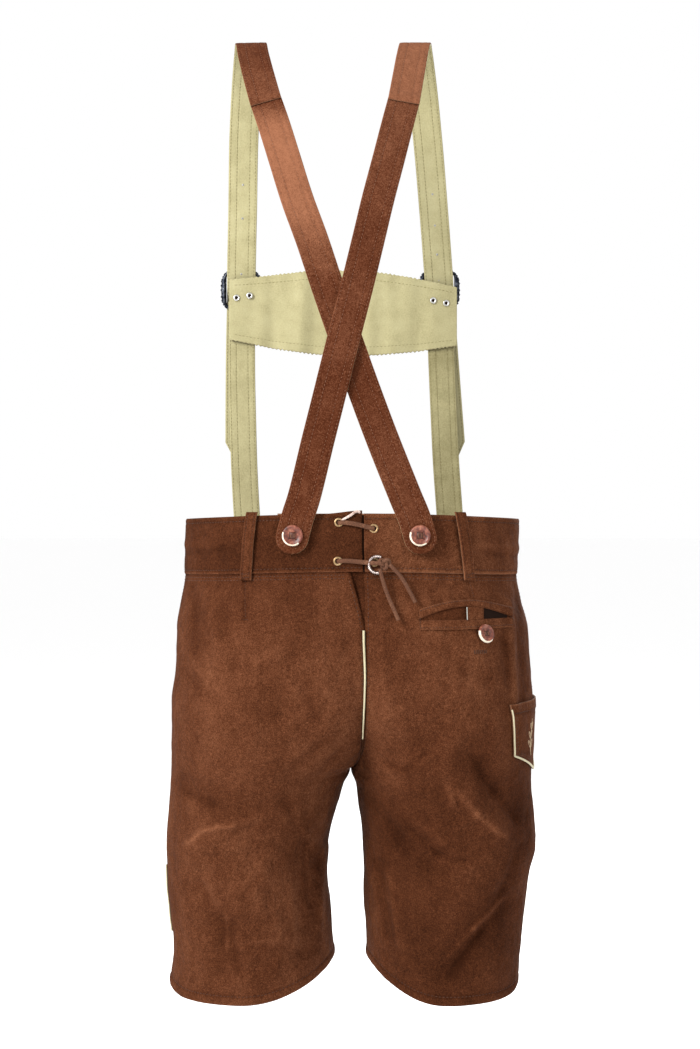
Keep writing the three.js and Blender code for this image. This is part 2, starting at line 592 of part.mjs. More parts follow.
// ---- Lacing ---------------------------------------------------------------------------------------
// Ring with a rounded section, standing on the XZ plane of its own frame.
function ringGeometry(radius, bore, height, steps) {
  const profile = [[bore, 0], [radius, 0], [radius, height * 0.6], [mix(radius, bore, 0.6), height], [bore, 0]];
  return new THREE.LatheGeometry(profile.map(([r, h]) => new THREE.Vector2(r, h)), steps);
}
for (const [name, [x, z]] of Object.entries(EYELETS)) {
  placeOn(addMesh(name, 'brass', ringGeometry(4.6, 2.6, 1.0, 14)),
    onBody('back', x, z, BAND_PROUD + LIE), bodyNormal('back', x, z));
}
const laceRing = [-24.4, -550.2];
placeOn(addMesh('lace_ring', 'nickel', ringGeometry(9.4, 6.6, 2.0, 18)),
  onBody('back', ...laceRing, BAND_PROUD + LIE + 1.4), bodyNormal('back', ...laceRing));

// Flat thong between two places on the band, bowed out in the middle.
function thong(from, to, low, bow) {
  return loft(spread(0, 1, 8).map((t) => {
    const x = mix(from[0], to[0], t);
    const z = mix(from[1], to[1], t);
    const lift = low + bow * Math.sin(Math.PI * t);
    const at = (dz, out) => onBody('back', x, z + dz, lift + out);
    const edge = LACE.width / 2;
    return [at(-edge, 0), at(edge, 0), at(edge, LACE.thick), at(-edge, LACE.thick)];
  }));
}
addMesh('lace_upper', 'lace', thong([14.6, -508.2], [-22.2, -514], BAND_PROUD + LIE + 1.35, 1.6));
addMesh('lace_lower', 'lace', thong([15.4, -546.8], [-13.6, -547.2], BAND_PROUD + LIE + 1.35, 1.2));
const knot = new THREE.SphereGeometry(1, 10, 8);
knot.scale(5.0, 4.2, 3.6);
const knotMesh = addMesh('lace_knot', 'lace', knot);
knotMesh.position.copy(onBody('back', -30.6, -548.6, BAND_PROUD + 8.4));

// Free end of the lace: an eight-sided tube along its own route.
for (const [name, route] of Object.entries(LACE_ENDS)) {
  const curve = new THREE.CatmullRomCurve3(route.map((p) => new THREE.Vector3(...p)));
  const section = new THREE.Shape(Array.from({ length: 8 }, (_, i) => {
    const angle = (i / 8) * 2 * Math.PI;
    return new THREE.Vector2(Math.cos(angle) * 1.9, Math.sin(angle) * 1.9);
  }));
  addMesh(name, 'lace', new THREE.ExtrudeGeometry(section, { extrudePath: curve, steps: 8, curveSegments: 1 }));
}

// ---- Braces ---------------------------------------------------------------------------------------
const BACK_TILT = 0.12; // the straps behind lean round the back
// Frames along a strap: place, direction across and direction outwards from the wearer.
function strapFrames(route, count) {
  const curve = new THREE.CatmullRomCurve3(route.map((p) => new THREE.Vector3(...p)), false, 'centripetal');
  return spread(0, 1, count).map((t) => {
    const at = curve.getPointAt(t);
    const along = curve.getTangentAt(t);
    const out = new THREE.Vector3(BACK_TILT * at.x * smooth(-40, 60, at.y), at.y, Math.max(0, at.z + 110) * 1.1);
    out.addScaledVector(along, -out.dot(along)).normalize();
    return { at, along, out, across: new THREE.Vector3().crossVectors(along, out).normalize() };
  });
}

// Flat strap with a rectangular section between two lifts; round ends narrow the width.
function strap(route, count, widthAt, low, high) {
  return loft(strapFrames(route, count).map(({ at, out, across }, i) => {
    const half = widthAt(i / count) / 2;
    const corner = (side, lift) => at.clone().addScaledVector(across, side * half).addScaledVector(out, lift);
    return [corner(-1, low), corner(1, low), corner(1, high), corner(-1, high)];
  }));
}
const linerTop = STRAP.lining;
const leatherLow = STRAP.lining + SEAM;
const leatherTop = leatherLow + STRAP.leather;
const roundStart = (full, reach) => (t) => full * Math.sqrt(clamp01(0.2 + 0.8 * Math.min(1, t / reach)));
const pointedEnd = (full, reach) => (t) => full * (t > 1 - reach ? mix(1, 0.45, (t - 1 + reach) / reach) : 1);

for (const [side, Side] of [['left', 'Left'], ['right', 'Right']]) {
  const pieces = [
    ['back_strap', ROUTES[`back${Side}`], 26, roundStart(STRAP.width, 0.035)],
    ['shoulder_strap', ROUTES[`shoulder${Side}`], 38, pointedEnd(STRAP.width, 0.03)],
    ['lower_strap', ROUTES[`lower${Side}`], 12, () => STRAP.lowerWidth],
  ];
  for (const [name, route, count, widthAt] of pieces) {
    addMesh(`${name}_${side}`, 'strap', strap(route, count, widthAt, leatherLow, leatherTop));
    addMesh(`${name}_lining_${side}`, 'cream', strap(route, count, widthAt, 0, linerTop));
  }
}

// Brace buttons: on the strap ends, behind and in front.
const BRACE_BUTTONS = {
  brace_button_back_left: [ROUTES.backRight, 1],
  brace_button_back_right: [ROUTES.backLeft, 1],
  brace_button_front_left: [ROUTES.lowerLeft, 6],
  brace_button_front_right: [ROUTES.lowerRight, 6],
};
for (const [name, [route, index]] of Object.entries(BRACE_BUTTONS)) {
  const at = new THREE.Vector3(...route[index]);
  const out = new THREE.Vector3(at.y > 0 ? BACK_TILT * at.x : 0, at.y, 0).normalize();
  placeOn(addMesh(name, 'horn', buttonGeometry(BUTTON_RADIUS)), at.addScaledVector(out, leatherTop + 0.5), out);
}

// ---- Chest bar ------------------------------------------------------------------------------------
const barCurve = (column) => new THREE.CatmullRomCurve3(
  CHEST_BAR.map((row) => new THREE.Vector3(row[0], row[3], row[column])),
);
const barTop = barCurve(1);
const barBottom = barCurve(2);
const barGrid = (out) => [0, 0.33, 0.67, 1].map((down) => spread(0, 1, 14).map((t) => {
  const point = barTop.getPoint(t).lerp(barBottom.getPoint(t), down);
  point.y -= out;
  return point;
}));
addMesh('chest_bar', 'strap', wall(barGrid(2.6), barGrid(1.3)));
addMesh('chest_bar_lining', 'cream', wall(barGrid(1.0), barGrid(0)));
for (const [name, [x, z]] of Object.entries(BAR_EYELETS)) {
  placeOn(addMesh(name, 'nickel', ringGeometry(3.7, 1.5, 1.0, 12)), new THREE.Vector3(x, -105.9, z),
    new THREE.Vector3(0, 1, 0));
}

// ---- Buckles: a rounded frame round the strap with its prong resting on the top bar ------------------
const BUCKLE = { centreZ: -242, back: -116.4, depth: 3.2, outer: [23.2, 23.8, 4], opening: [18.9, 18.6, 14] };
const BUCKLE_X = { left: 126.6, right: -99.6 };
const PRONG = { width: 3.2, thick: 2.4, top: -216.5, foot: -235.5 };

// Closed outline between an ellipse and a rectangle: the higher the power, the squarer.
function superellipse([a, b, power], count) {
  return Array.from({ length: count }, (_, i) => {
    const angle = (i / count) * 2 * Math.PI;
    const part = (value, size) => Math.sign(value) * size * Math.abs(value) ** (2 / power);
    return new THREE.Vector2(part(Math.cos(angle), a), part(Math.sin(angle), b));
  });
}

function toSolid(geometry) {
  const bare = geometry.clone();
  bare.deleteAttribute('normal');
  bare.deleteAttribute('uv');
  const merged = mergeVertices(bare, 1e-3);
  return new wasm.Manifold(new wasm.Mesh({
    numProp: 3,
    vertProperties: merged.attributes.position.array,
    triVerts: new Uint32Array(merged.index.array),
  }));
}

function toGeometry(solid) {
  const mesh = solid.getMesh();
  const geometry = new THREE.BufferGeometry();
  geometry.setAttribute('position', new THREE.BufferAttribute(mesh.vertProperties, 3));
  geometry.setIndex(new THREE.BufferAttribute(mesh.triVerts, 1));
  geometry.computeVertexNormals();
  return geometry;
}

for (const [side, x] of Object.entries(BUCKLE_X)) {
  const shape = new THREE.Shape(superellipse(BUCKLE.outer, 28));
  shape.holes.push(new THREE.Path(superellipse(BUCKLE.opening, 28)));
  const frame = new THREE.ExtrudeGeometry(shape, { depth: BUCKLE.depth, bevelEnabled: false });
  frame.rotateX(Math.PI / 2).translate(x, BUCKLE.back, BUCKLE.centreZ);
  const prong = new THREE.BoxGeometry(PRONG.width, PRONG.thick, PRONG.top - PRONG.foot);
  prong.translate(x, BUCKLE.back - BUCKLE.depth - PRONG.thick / 2 + 0.2, (PRONG.top + PRONG.foot) / 2);
  addMesh(`buckle_${side}`, 'buckle', toGeometry(toSolid(frame).add(toSolid(prong))));
}

export default group;
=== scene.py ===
"""Short suede trousers with crossed braces, filled out with no wearer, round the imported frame.

Shapes are worked out in millimetres and turned into metres as each mesh is made. The front faces -Y,
the wearer's left is +X, and the origin is under the crests of the shoulder straps.
"""

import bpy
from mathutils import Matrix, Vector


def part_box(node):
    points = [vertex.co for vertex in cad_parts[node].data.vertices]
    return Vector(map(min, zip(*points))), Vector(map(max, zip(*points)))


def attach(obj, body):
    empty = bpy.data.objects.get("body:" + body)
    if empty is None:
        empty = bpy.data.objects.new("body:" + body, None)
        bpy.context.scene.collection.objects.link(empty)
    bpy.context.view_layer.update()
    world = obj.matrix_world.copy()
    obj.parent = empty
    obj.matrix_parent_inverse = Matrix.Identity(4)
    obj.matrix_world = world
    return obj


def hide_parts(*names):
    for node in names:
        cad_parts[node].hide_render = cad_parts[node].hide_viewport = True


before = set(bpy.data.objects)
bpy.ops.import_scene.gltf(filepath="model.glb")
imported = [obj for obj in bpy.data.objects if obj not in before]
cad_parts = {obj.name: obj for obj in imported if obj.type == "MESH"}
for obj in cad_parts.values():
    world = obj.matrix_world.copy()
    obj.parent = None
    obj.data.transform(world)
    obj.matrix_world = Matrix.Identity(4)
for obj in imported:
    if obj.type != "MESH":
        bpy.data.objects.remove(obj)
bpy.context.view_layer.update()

import math
import bpy
import numpy as np
from mathutils import Vector, noise

MM = 0.001


def box_mm(node):
    """Lowest and highest corners of a CAD node, in millimetres."""
    low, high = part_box(node)
    return np.array(low) / MM, np.array(high) / MM


def centre_mm(node):
    low, high = box_mm(node)
    return (low + high) / 2


# ---- Sizes taken from the frame ------------------------------------------------------------------
WAIST_TOP = box_mm("waistband_back_left")[1][2]
HEM_LOW = box_mm("back_panel_left")[0][2]
VENT_FOOT = box_mm("centre_back_piping")[1][2] + 4

# ---- Sizes that the shapes share with the construction -------------------------------------------
LEATHER = 2.0
BAND = 3.4
BAND_PROUD = 1.4
SEAM = 0.3
LIE = 0.4
WELT_LIE = 0.8
WAIST_JOIN = WAIST_TOP - 58
HEM_RISE = 27
HEM_SIDE_RISE = 5
HEM_TURN = {"left": (0.05, 0.56), "right": (0.1, 0.52)}
VENT_OPEN = 13
STRAP_WIDTH = 32.6
LOWER_STRAP_WIDTH = 30.0
LINING = 1.0
STRAP_LEATHER = 1.4

SECTION_COLUMNS = ("z", "left", "right", "side_y", "seam_back", "seam_front", "gap_left", "gap_right",
                   "inner_back", "inner_front", "peak_back", "peak_front", "peak_share", "turn")
SECTIONS = np.array([
    [-492, 175.5, 176.5, 6, -10, 2, 0, 0, 117.0, -113.0, 117.0, -113.0, 0.15, 0],
    [-530, 176.5, 175.0, 8, -10, 2, 0, 0, 119.0, -116.0, 119.0, -116.0, 0.18, 0],
    [-560, 177.0, 173.5, 10, -11, 2, 0, 0, 121.0, -118.0, 121.0, -118.0, 0.20, 0],
    [-590, 181.0, 178.0, 12, -12, 2, 0, 0, 123.5, -121.0, 124.5, -121.0, 0.26, 2],
    [-620, 185.5, 185.5, 14, -12, 2, 0, 0, 125.0, -121.0, 128.0, -122.0, 0.34, 6],
    [-655, 186.0, 187.5, 16, -13, 2, 0, 0, 124.0, -117.0, 131.0, -121.0, 0.42, 14],
    [-698, 190.5, 190.0, 18, -12, 2, 0, 0, 114.0, -103.0, 131.0, -118.0, 0.47, 34],
    [-735, 191.0, 188.5, 18, -10, 2, 0, 0, 86.0, -76.0, 127.0, -114.0, 0.50, 62],
    [-758, 191.0, 188.5, 18, -4, 2, 0, 0, 46.0, -40.0, 122.0, -111.0, 0.50, 84],
    [-770, 191.0, 188.5, 18, 2, 2, 0, 0, 0.3, -0.3, 119.0, -109.0, 0.50, 90],
    [-785, 191.5, 189.0, 18, 2, 2, 7, 5, 0.3, -0.3, 116.0, -107.0, 0.50, 90],
    [-805, 193.0, 190.5, 18, 2, 2, 13, 8, 0.3, -0.3, 113.0, -106.0, 0.50, 90],
    [-847, 195.5, 193.0, 18, 2, 2, 24, 13.5, 0.3, -0.3, 108.0, -103.0, 0.50, 90],
    [-880, 195.0, 186.0, 18, 2, 2, 25, 13.5, 0.3, -0.3, 105.0, -101.0, 0.50, 90],
    [-912, 192.5, 181.5, 18, 2, 2, 21, 14.5, 0.3, -0.3, 103.0, -100.0, 0.50, 90],
    [-954, 188.5, 178.0, 18, 2, 2, 18, 16.5, 0.3, -0.3, 101.0, -99.0, 0.50, 90],
    [-1002, 194.0, 174.0, 18, 2, 2, 14, 15.5, 0.3, -0.3, 100.0, -98.0, 0.50, 90],
])

# Lines in X-Z, as rows of half, x and z of one end, x and z of the other, height and reach.
# Soft folds that the construction has too: ridges, and troughs where the height is negative.
FOLDS = [
    ("back", 162, -776, 104, -799, -4.0, 17),
    ("back", 168, -838, 116, -806, 3.5, 17),
    ("back", 154, -880, 132, -914, -4.5, 15),
    ("back", 134, -911, 128, -958, -3.5, 14),
    ("back", 90, -866, 120, -900, 3.0, 15),
    ("back", 42, -839, 50, -945, -4.0, 14),
    ("back", -120, -740, -166, -805, -5.0, 15),
    ("back", -104, -778, -149, -819, 4.0, 14),
    ("back", -45, -826, -88, -855, -4.0, 15),
    ("back", -154, -894, -92, -966, -4.5, 15),
    ("back", -36, -743, -78, -718, -3.0, 16),
    ("front", 30, -742, 84, -716, -4.0, 15),
    ("front", -28, -748, -92, -725, -4.5, 15),
    ("front", 40, -775, 110, -790, -4.0, 16),
    ("front", -36, -780, -120, -812, -4.5, 16),
    ("front", 150, -820, 100, -860, 3.5, 17),
    ("front", -150, -850, -96, -905, 4.0, 17),
    ("front", 140, -900, 104, -950, -4.0, 15),
    ("front", -70, -905, -110, -950, -4.0, 15),
]

# Finer creases that lie over those folds.
CREASES = [
    ("back", 166, -834, 148, -818, 1.6, 5),
    ("back", 148, -818, 118, -812, 1.8, 5),
    ("back", 118, -812, 92, -806, 1.2, 6),
    ("back", 170, -785, 140, -792, -1.4, 7),
    ("back", 150, -870, 137, -892, 1.4, 6),
    ("back", 128, -906, 126, -935, 1.8, 5),
    ("back", 124, -925, 116, -962, -1.6, 7),
    ("back", 96, -862, 112, -884, -1.2, 6),
    ("back", 66, -930, 118, -926, 1.0, 5),
    ("back", 70, -790, 40, -826, -1.6, 8),
    ("back", 58, -800, 34, -850, 1.8, 6),
    ("back", 64, -880, 58, -940, 1.4, 7),
    ("back", 30, -852, 34, -930, 1.6, 5),
    ("back", 14, -735, 34, -760, -1.4, 6),
    ("back", 30, -725, 60, -752, -1.2, 8),
    ("back", 128, -598, 120, -650, -1.0, 9),
    ("back", 150, -580, 130, -660, 1.0, 10),
    ("back", 166, -575, 158, -640, -1.2, 9),
    ("back", 172, -660, 140, -690, -1.0, 9),
    ("back", 60, -640, 40, -700, -0.8, 12),
    ("back", -104, -776, -124, -800, 1.8, 5),
    ("back", -124, -800, -152, -826, 1.8, 5),
    ("back", -92, -762, -98, -792, 1.4, 6),
    ("back", -118, -742, -140, -780, -2.0, 5),
    ("back", -140, -780, -168, -812, -1.8, 5),
    ("back", -56, -818, -84, -842, -1.8, 5),
    ("back", -84, -842, -112, -850, -1.4, 6),
    ("back", -66, -812, -92, -830, 1.2, 6),
    ("back", -152, -890, -122, -916, 1.8, 5),
    ("back", -122, -916, -96, -944, 1.6, 5),
    ("back", -128, -922, -98, -962, -1.6, 6),
    ("back", -34, -752, -54, -756, -1.4, 6),
    ("back", -54, -756, -74, -738, -1.4, 6),
    ("back", -22, -790, -44, -830, -1.2, 8),
    ("back", -24, -860, -34, -930, -1.6, 7),
    ("back", -36, -870, -46, -940, 1.4, 6),
    ("back", -28, -640, -32, -700, 1.2, 8),
    ("back", -150, -625, -156, -672, -1.6, 7),
    ("back", -158, -590, -162, -690, 1.2, 8),
    ("back", -167, -590, -170, -692, -1.7, 9),
    ("back", 176, -542, 118, -537, -0.9, 5),
    ("back", 177, -533, 120, -530, 0.7, 7),
    ("back", -174, -543, -130, -536, -1.0, 5),
    ("back", -174, -533, -128, -528, 0.7, 7),
    ("back", -60, -560, -84, -590, -1.0, 8),
    ("back", -90, -640, -130, -668, -0.9, 11),
    ("back", -168, -840, -150, -880, -1.4, 8),
    ("front", 26, -736, 70, -716, 1.6, 6),
    ("front", 34, -760, 88, -752, -1.6, 7),
    ("front", 46, -782, 106, -798, 1.4, 6),
    ("front", 150, -826, 112, -850, 1.6, 6),
    ("front", 60, -850, 42, -930, -1.6, 8),
    ("front", 130, -905, 112, -950, 1.6, 6),
    ("front", 150, -690, 170, -750, -1.2, 9),
    ("front", -24, -742, -80, -722, 1.6, 6),
    ("front", -36, -764, -96, -760, -1.6, 7),
    ("front", -50, -792, -118, -822, 1.6, 6),
    ("front", -146, -856, -104, -900, 1.6, 6),
    ("front", -40, -860, -52, -940, -1.6, 8),
    ("front", -80, -915, -108, -950, 1.4, 6),
    ("front", -160, -700, -140, -760, -1.4, 9),
]

# Lines along the sharpest creases, by how much lighter than the suede they are painted: scuffed lines along
# the ridges, and painted shade, darker where negative, in the troughs beside them.
SCUFFS_AND_CREASE_SHADE = [
    ("back", 166, -834, 148, -818, 0.30, 1.8),
    ("back", 148, -818, 134, -812, 0.34, 1.8),
    ("back", 134, -812, 122, -814, 0.30, 1.8),
    ("back", 158, -656, 146, -668, 0.30, 1.8),
    ("back", 132, -575, 150, -620, 0.12, 3.0),
    ("back", 138, -600, 128, -660, -0.18, 7.0),
    ("back", 128, -934, 92, -930, 0.20, 2.0),
    ("back", 92, -930, 76, -926, 0.14, 2.0),
    ("back", 142, -872, 128, -896, 0.16, 2.4),
    ("back", 150, -790, 96, -812, -0.16, 8.0),
    ("back", 126, -915, 136, -958, -0.20, 7.0),
    ("back", 60, -800, 44, -840, 0.14, 2.4),
    ("back", 56, -850, 60, -940, 0.12, 3.0),
    ("back", 34, -850, 40, -950, -0.18, 6.0),
    ("back", -100, -775, -122, -800, 0.28, 2.0),
    ("back", -122, -800, -150, -824, 0.26, 2.0),
    ("back", -94, -764, -100, -790, 0.20, 2.0),
    ("back", -122, -744, -146, -782, -0.20, 6.0),
    ("back", -48, -752, -76, -740, 0.22, 2.2),
    ("back", -58, -820, -90, -846, 0.22, 2.0),
    ("back", -150, -892, -120, -918, 0.24, 2.2),
    ("back", -132, -926, -98, -962, -0.20, 7.0),
    ("back", -30, -860, -44, -940, -0.18, 7.0),
    ("back", -164, -585, -170, -690, -0.24, 7.0),
    ("back", -157, -590, -160, -680, 0.14, 3.0),
    ("back", -34, -620, -30, -690, -0.14, 8.0),
]

# Darts: short stitched grooves below the waistband behind.
DARTS = [
    ("back", 110.6, -566, 109.6, -602, 1.0, 1.7),
    ("back", -118.8, -562, -124.4, -582, 0.9, 1.7),
    ("back", 108, -566, 107, -604, -1.3, 3.0),
    ("back", 107, -602, 107, -606, -1.4, 3.2),
    ("back", -116.5, -562, -122, -584, -1.0, 3.0),
]

ROUTES = {
    "back_left": [
        (-71.2, 121.6, -539), (-66.5, 121.4, -521), (-61, 121.4, -503), (-52.7, 121.6, -483),
        (-30, 120.5, -426), (-15, 119, -386), (5, 116.8, -330), (24, 113.5, -275),
        (40.5, 109.5, -225), (55.2, 104, -184), (68.1, 96, -142), (79.6, 85, -104),
        (88.4, 71.3, -77.6),
    ],
    "back_right": [
        (63.4, 121.8, -539), (59.2, 121.6, -521), (54.4, 121.8, -503), (48, 122.4, -483),
        (34, 123.4, -426), (23.9, 123.8, -386), (10, 122.6, -330), (-4, 119, -275),
        (-16, 113.2, -225), (-25.6, 106.6, -184), (-36.3, 98, -142), (-45.6, 85, -104),
        (-52.3, 71.3, -77.6),
    ],
    "shoulder_left": [
        (88.9, 70.4, -76.2), (97, 52, -46), (103.5, 32, -20), (107.9, 8, 0),
        (111, -16, -4), (114.6, -42, -16), (118.4, -66, -40), (121.7, -85, -78),
        (123.2, -96, -110), (124.2, -103, -146), (125.3, -108, -186), (126, -110.6, -212),
        (126.4, -113.6, -226), (126.8, -117.8, -246), (127.2, -120.9, -262), (127.8, -121.4, -284),
        (128.4, -120.8, -320), (128.8, -121.2, -365), (129, -121.8, -405), (129, -122, -436),
    ],
    "shoulder_right": [
        (-52.7, 70.4, -76.2), (-58, 52, -46), (-62.6, 32, -20), (-67.2, 8, 0),
        (-70.4, -16, -4), (-74.4, -42, -16), (-79.4, -66, -40), (-84.7, -85, -78),
        (-88.4, -96, -110), (-91.8, -103, -146), (-95.3, -108, -186), (-97.4, -110.6, -212),
        (-98.6, -113.6, -226), (-100, -117.8, -246), (-101.2, -120.9, -262), (-102.8, -121.8, -284),
        (-105.6, -122.4, -320), (-109, -123, -365), (-112.2, -123.8, -405), (-114.6, -124.2, -436),
    ],
    "lower_left": [
        (125.9, -110.6, -256), (125.8, -111.6, -300), (125.6, -112.8, -345), (124.6, -114.6, -395),
        (123.4, -116, -442), (121, -117.4, -491), (119.6, -118.2, -512), (118.6, -118.4, -534),
    ],
    "lower_right": [
        (-100.4, -110.6, -256), (-101, -111.6, -300), (-102.8, -112.8, -345), (-105, -114.6, -395),
        (-107.4, -116, -442), (-111, -117.4, -491), (-112.4, -118.2, -512), (-113.4, -118.4, -534),
    ],
}

CHEST_BAR = [  # x, top z, bottom z, y of the body side
    (139.5, -231.5, -300, -106.6),
    (75, -224.5, -312, -108.8),
    (11, -221, -318, -109.6),
    (-55, -227, -315, -108.8),
    (-119, -240.5, -307, -106.6),
]

LACE_ENDS = {
    "lace_end_long": [
        (-27.0, 129.6, -553.5), (-29.0, 130.0, -562), (-31.6, 130.4, -571), (-34.8, 130.6, -580),
        (-38.6, 130.8, -589), (-42.2, 131.2, -597), (-45.4, 131.6, -604.5),
    ],
    "lace_end_short": [
        (-36.4, 130.4, -549.5), (-42.4, 130.2, -555.5), (-48.4, 129.8, -562.4), (-53.2, 129.4, -570.2),
        (-57.8, 129, -578.6), (-62.2, 128.4, -587),
    ],
}

# ---- The camera, made first, and the lights and floor --------------------------------------------
CAMERA_DISTANCE = 1.7
FOCAL_PIXELS = 1590
FRAME_HEIGHT = 1049
SENSOR = 36.0
FLOOR_SIZE = 160.0
FLOOR_DROP = 240


def make_camera():
    data = bpy.data.cameras.new("camera")
    data.sensor_width = SENSOR
    data.lens = FOCAL_PIXELS * SENSOR / FRAME_HEIGHT
    camera = bpy.data.objects.new("camera", data)
    camera.location = (0.0025, CAMERA_DISTANCE, -0.510)
    camera.rotation_euler = (math.radians(90), 0, math.radians(180))
    bpy.context.collection.objects.link(camera)
    bpy.context.scene.camera = camera


def area_light(name, place, target, size, power):
    data = bpy.data.lights.new(name, "AREA")
    data.energy = power
    data.shape = "RECTANGLE"
    data.size, data.size_y = size
    light = bpy.data.objects.new(name, data)
    light.location = place
    direction = Vector(target) - Vector(place)
    light.rotation_euler = direction.to_track_quat("-Z", "Y").to_euler()
    bpy.context.collection.objects.link(light)


def make_stage():
    scene = bpy.context.scene
    scene.view_settings.view_transform = "Standard"
    world = bpy.data.worlds.new("studio")
    scene.world = world
    world.use_nodes = True
    background = world.node_tree.nodes["Background"]
    background.inputs["Color"].default_value = (1, 1, 1, 1)
    background.inputs["Strength"].default_value = 1.0
    area_light("key", (1.5, 1.5, 0.55), (0, 0, -0.5), (0.7, 1.0), 78)
    area_light("fill", (-1.6, 1.7, 0.0), (0, 0, -0.5), (1.2, 1.6), 7)
    area_light("front", (-0.9, -1.9, 0.6), (0, 0, -0.5), (1.2, 1.6), 52)
    bpy.ops.mesh.primitive_plane_add(size=FLOOR_SIZE, location=(0, 0, (HEM_LOW - FLOOR_DROP) * MM))
    floor = bpy.context.object
    floor.name = "floor"
    floor.data.materials.append(plain_material("floor_white", (0.985, 0.985, 0.985), 1.0))


# ---- Numbers: interpolation and curves -----------------------------------------------------------
def smooth(start, end, t):
    s = np.clip((np.asarray(t, float) - start) / (end - start), 0, 1)
    return s * s * (3 - 2 * s)


def mix(a, b, t):
    return a + (b - a) * t


def unit(v):
    return v / np.maximum(np.linalg.norm(v, axis=-1, keepdims=True), 1e-9)


def section_at(z):
    """Value of each section column at height z, by a monotone cubic."""
    zs = SECTIONS[:, 0]
    last = len(zs) - 1
    z = min(zs[0], max(zs[last], z))
    k = 0
    while k < last - 1 and z < zs[k + 1]:
        k += 1
    span = zs[k + 1] - zs[k]
    t = (z - zs[k]) / span
    secants = (SECTIONS[1:] - SECTIONS[:-1]) / (zs[1:] - zs[:-1])[:, None]

    def slope(i):
        if i == 0:
            return secants[0]
        if i == last:
            return secants[last - 1]
        product = secants[i - 1] * secants[i]
        total = secants[i - 1] + secants[i]
        safe = np.where(np.abs(total) < 1e-12, 1, total)
        return np.where(product <= 0, 0, 2 * product / safe)

    t2, t3 = t * t, t * t * t
    row = ((2 * t3 - 3 * t2 + 1) * SECTIONS[k] + (t3 - 2 * t2 + t) * span * slope(k)
           + (3 * t2 - 2 * t3) * SECTIONS[k + 1] + (t3 - t2) * span * slope(k + 1))
    return dict(zip(SECTION_COLUMNS, row))


RING_STEPS = 120
Z_TOP = -490.0
Z_FOOT = -1003.0
Z_COUNT = int(Z_TOP - Z_FOOT) + 1


def make_ring(side, half, z):
    """One half's section with equal steps, from the inner edge to the side seam, and its length."""
    s = section_at(z)
    sign = 1 if side == "left" else -1
    front = half == "front"
    flip = -1 if front else 1
    inner_x = sign * ((s["seam_front"] if front else s["seam_back"]) + sign * s["gap_" + side])
    start = np.array([inner_x, flip * s["inner_" + half]])
    width = s[side]
    peak = np.array([mix(start[0], width, s["peak_share"]), flip * s["peak_" + half]])
    side_y = flip * s["side_y"]
    turn = math.radians(s["turn"])
    run, rise = peak - start
    pull = 0.55 * mix(run, max(rise, run * 0.5), math.sin(turn))
    a = start + pull * np.array([math.cos(turn), math.sin(turn)])
    b = peak - np.array([0.55 * run, 0])
    t = np.linspace(0, 1, 41)[:, None]
    inner = (1 - t) ** 3 * start + 3 * (1 - t) ** 2 * t * a + 3 * (1 - t) * t ** 2 * b + t ** 3 * peak
    angle = np.linspace(0, math.pi / 2, 49)[1:]
    outer = np.stack([peak[0] + (width - peak[0]) * np.sin(angle),
                      side_y + (peak[1] - side_y) * np.cos(angle)], 1)
    line = np.concatenate([inner, outer]) * (sign, flip)
    steps = np.linalg.norm(np.diff(line, axis=0), axis=1)
    lengths = np.concatenate([[0], np.cumsum(steps)])
    want = np.linspace(0, lengths[-1], RING_STEPS + 1)
    points = np.stack([np.interp(want, lengths, line[:, 0]), np.interp(want, lengths, line[:, 1])], 1)
    return points, lengths[-1]


SURFACE = {}
for _side in ("left", "right"):
    for _half in ("back", "front"):
        _rings = [make_ring(_side, _half, Z_TOP - i) for i in range(Z_COUNT)]
        _points = np.array([r[0] for r in _rings])
        _facing = 1 if (_side == "left") == (_half == "back") else -1
        _tangent = unit(np.gradient(_points, axis=1))
        _outward = np.stack([-_facing * _tangent[..., 1], _facing * _tangent[..., 0]], -1)
        SURFACE[_side, _half] = {"points": _points, "outward": _outward,
                                 "length": np.array([r[1] for r in _rings])}


def sample(table, u, z):
    """Bilinear value of a table of rings at u from 0 to 1 and height z."""
    fz = np.clip(Z_TOP - z, 0, Z_COUNT - 1.001)
    fu = np.clip(u, 0, 1) * RING_STEPS
    fu = np.minimum(fu, RING_STEPS - 0.0001)
    iz, iu = fz.astype(int), fu.astype(int)
    tz, tu = (fz - iz)[..., None], (fu - iu)[..., None]
    return ((table[iz, iu] * (1 - tz) + table[iz + 1, iu] * tz) * (1 - tu)
            + (table[iz, iu + 1] * (1 - tz) + table[iz + 1, iu + 1] * tz) * tu)


def ring_length(side, half, z):
    return np.interp(Z_TOP - np.asarray(z, float), np.arange(Z_COUNT), SURFACE[side, half]["length"])


def broad_shade(side, half, x, z):
    """Painted shade over broad parts of the back: the right leg darker towards its hem, the left leg a little
    lighter low down.
    """
    if half == "back" and side == "right":
        return 0.16 * smooth(-700, -830, z) * smooth(-15, -60, x)
    return -0.03 * smooth(-740, -800, z) if half == "back" else 0


def line_relief(rows, half, x, z, skew=0.0, narrow=1.0):
    """Height of soft lines: each a Gaussian round a segment, skewed into a ridge beside a groove."""
    height = np.zeros_like(x)
    for row in rows:
        if row[0] != half:
            continue
        _, x1, z1, x2, z2, tall, reach = row
        dx, dz = x2 - x1, z2 - z1
        t = np.clip(((x - x1) * dx + (z - z1) * dz) / (dx * dx + dz * dz), 0, 1)
        reach = reach * narrow
        far = np.hypot(x - x1 - t * dx, z - z1 - t * dz) / reach
        across = ((x - x1) * dz - (z - z1) * dx) / math.hypot(dx, dz) / reach
        height += tall * np.exp(-far ** 2) * (1 + skew * across)
    return height


def noise_field(points, scale, seed, depth=3):
    """Fractal noise at each point, for a wavelength of about scale millimetres."""
    flat = points.reshape(-1, 3) / scale
    values = [noise.fractal(Vector((p[0] + seed, p[1], p[2])), 0.9, 2.1, depth) for p in flat]
    return np.array(values).reshape(points.shape[:-1])


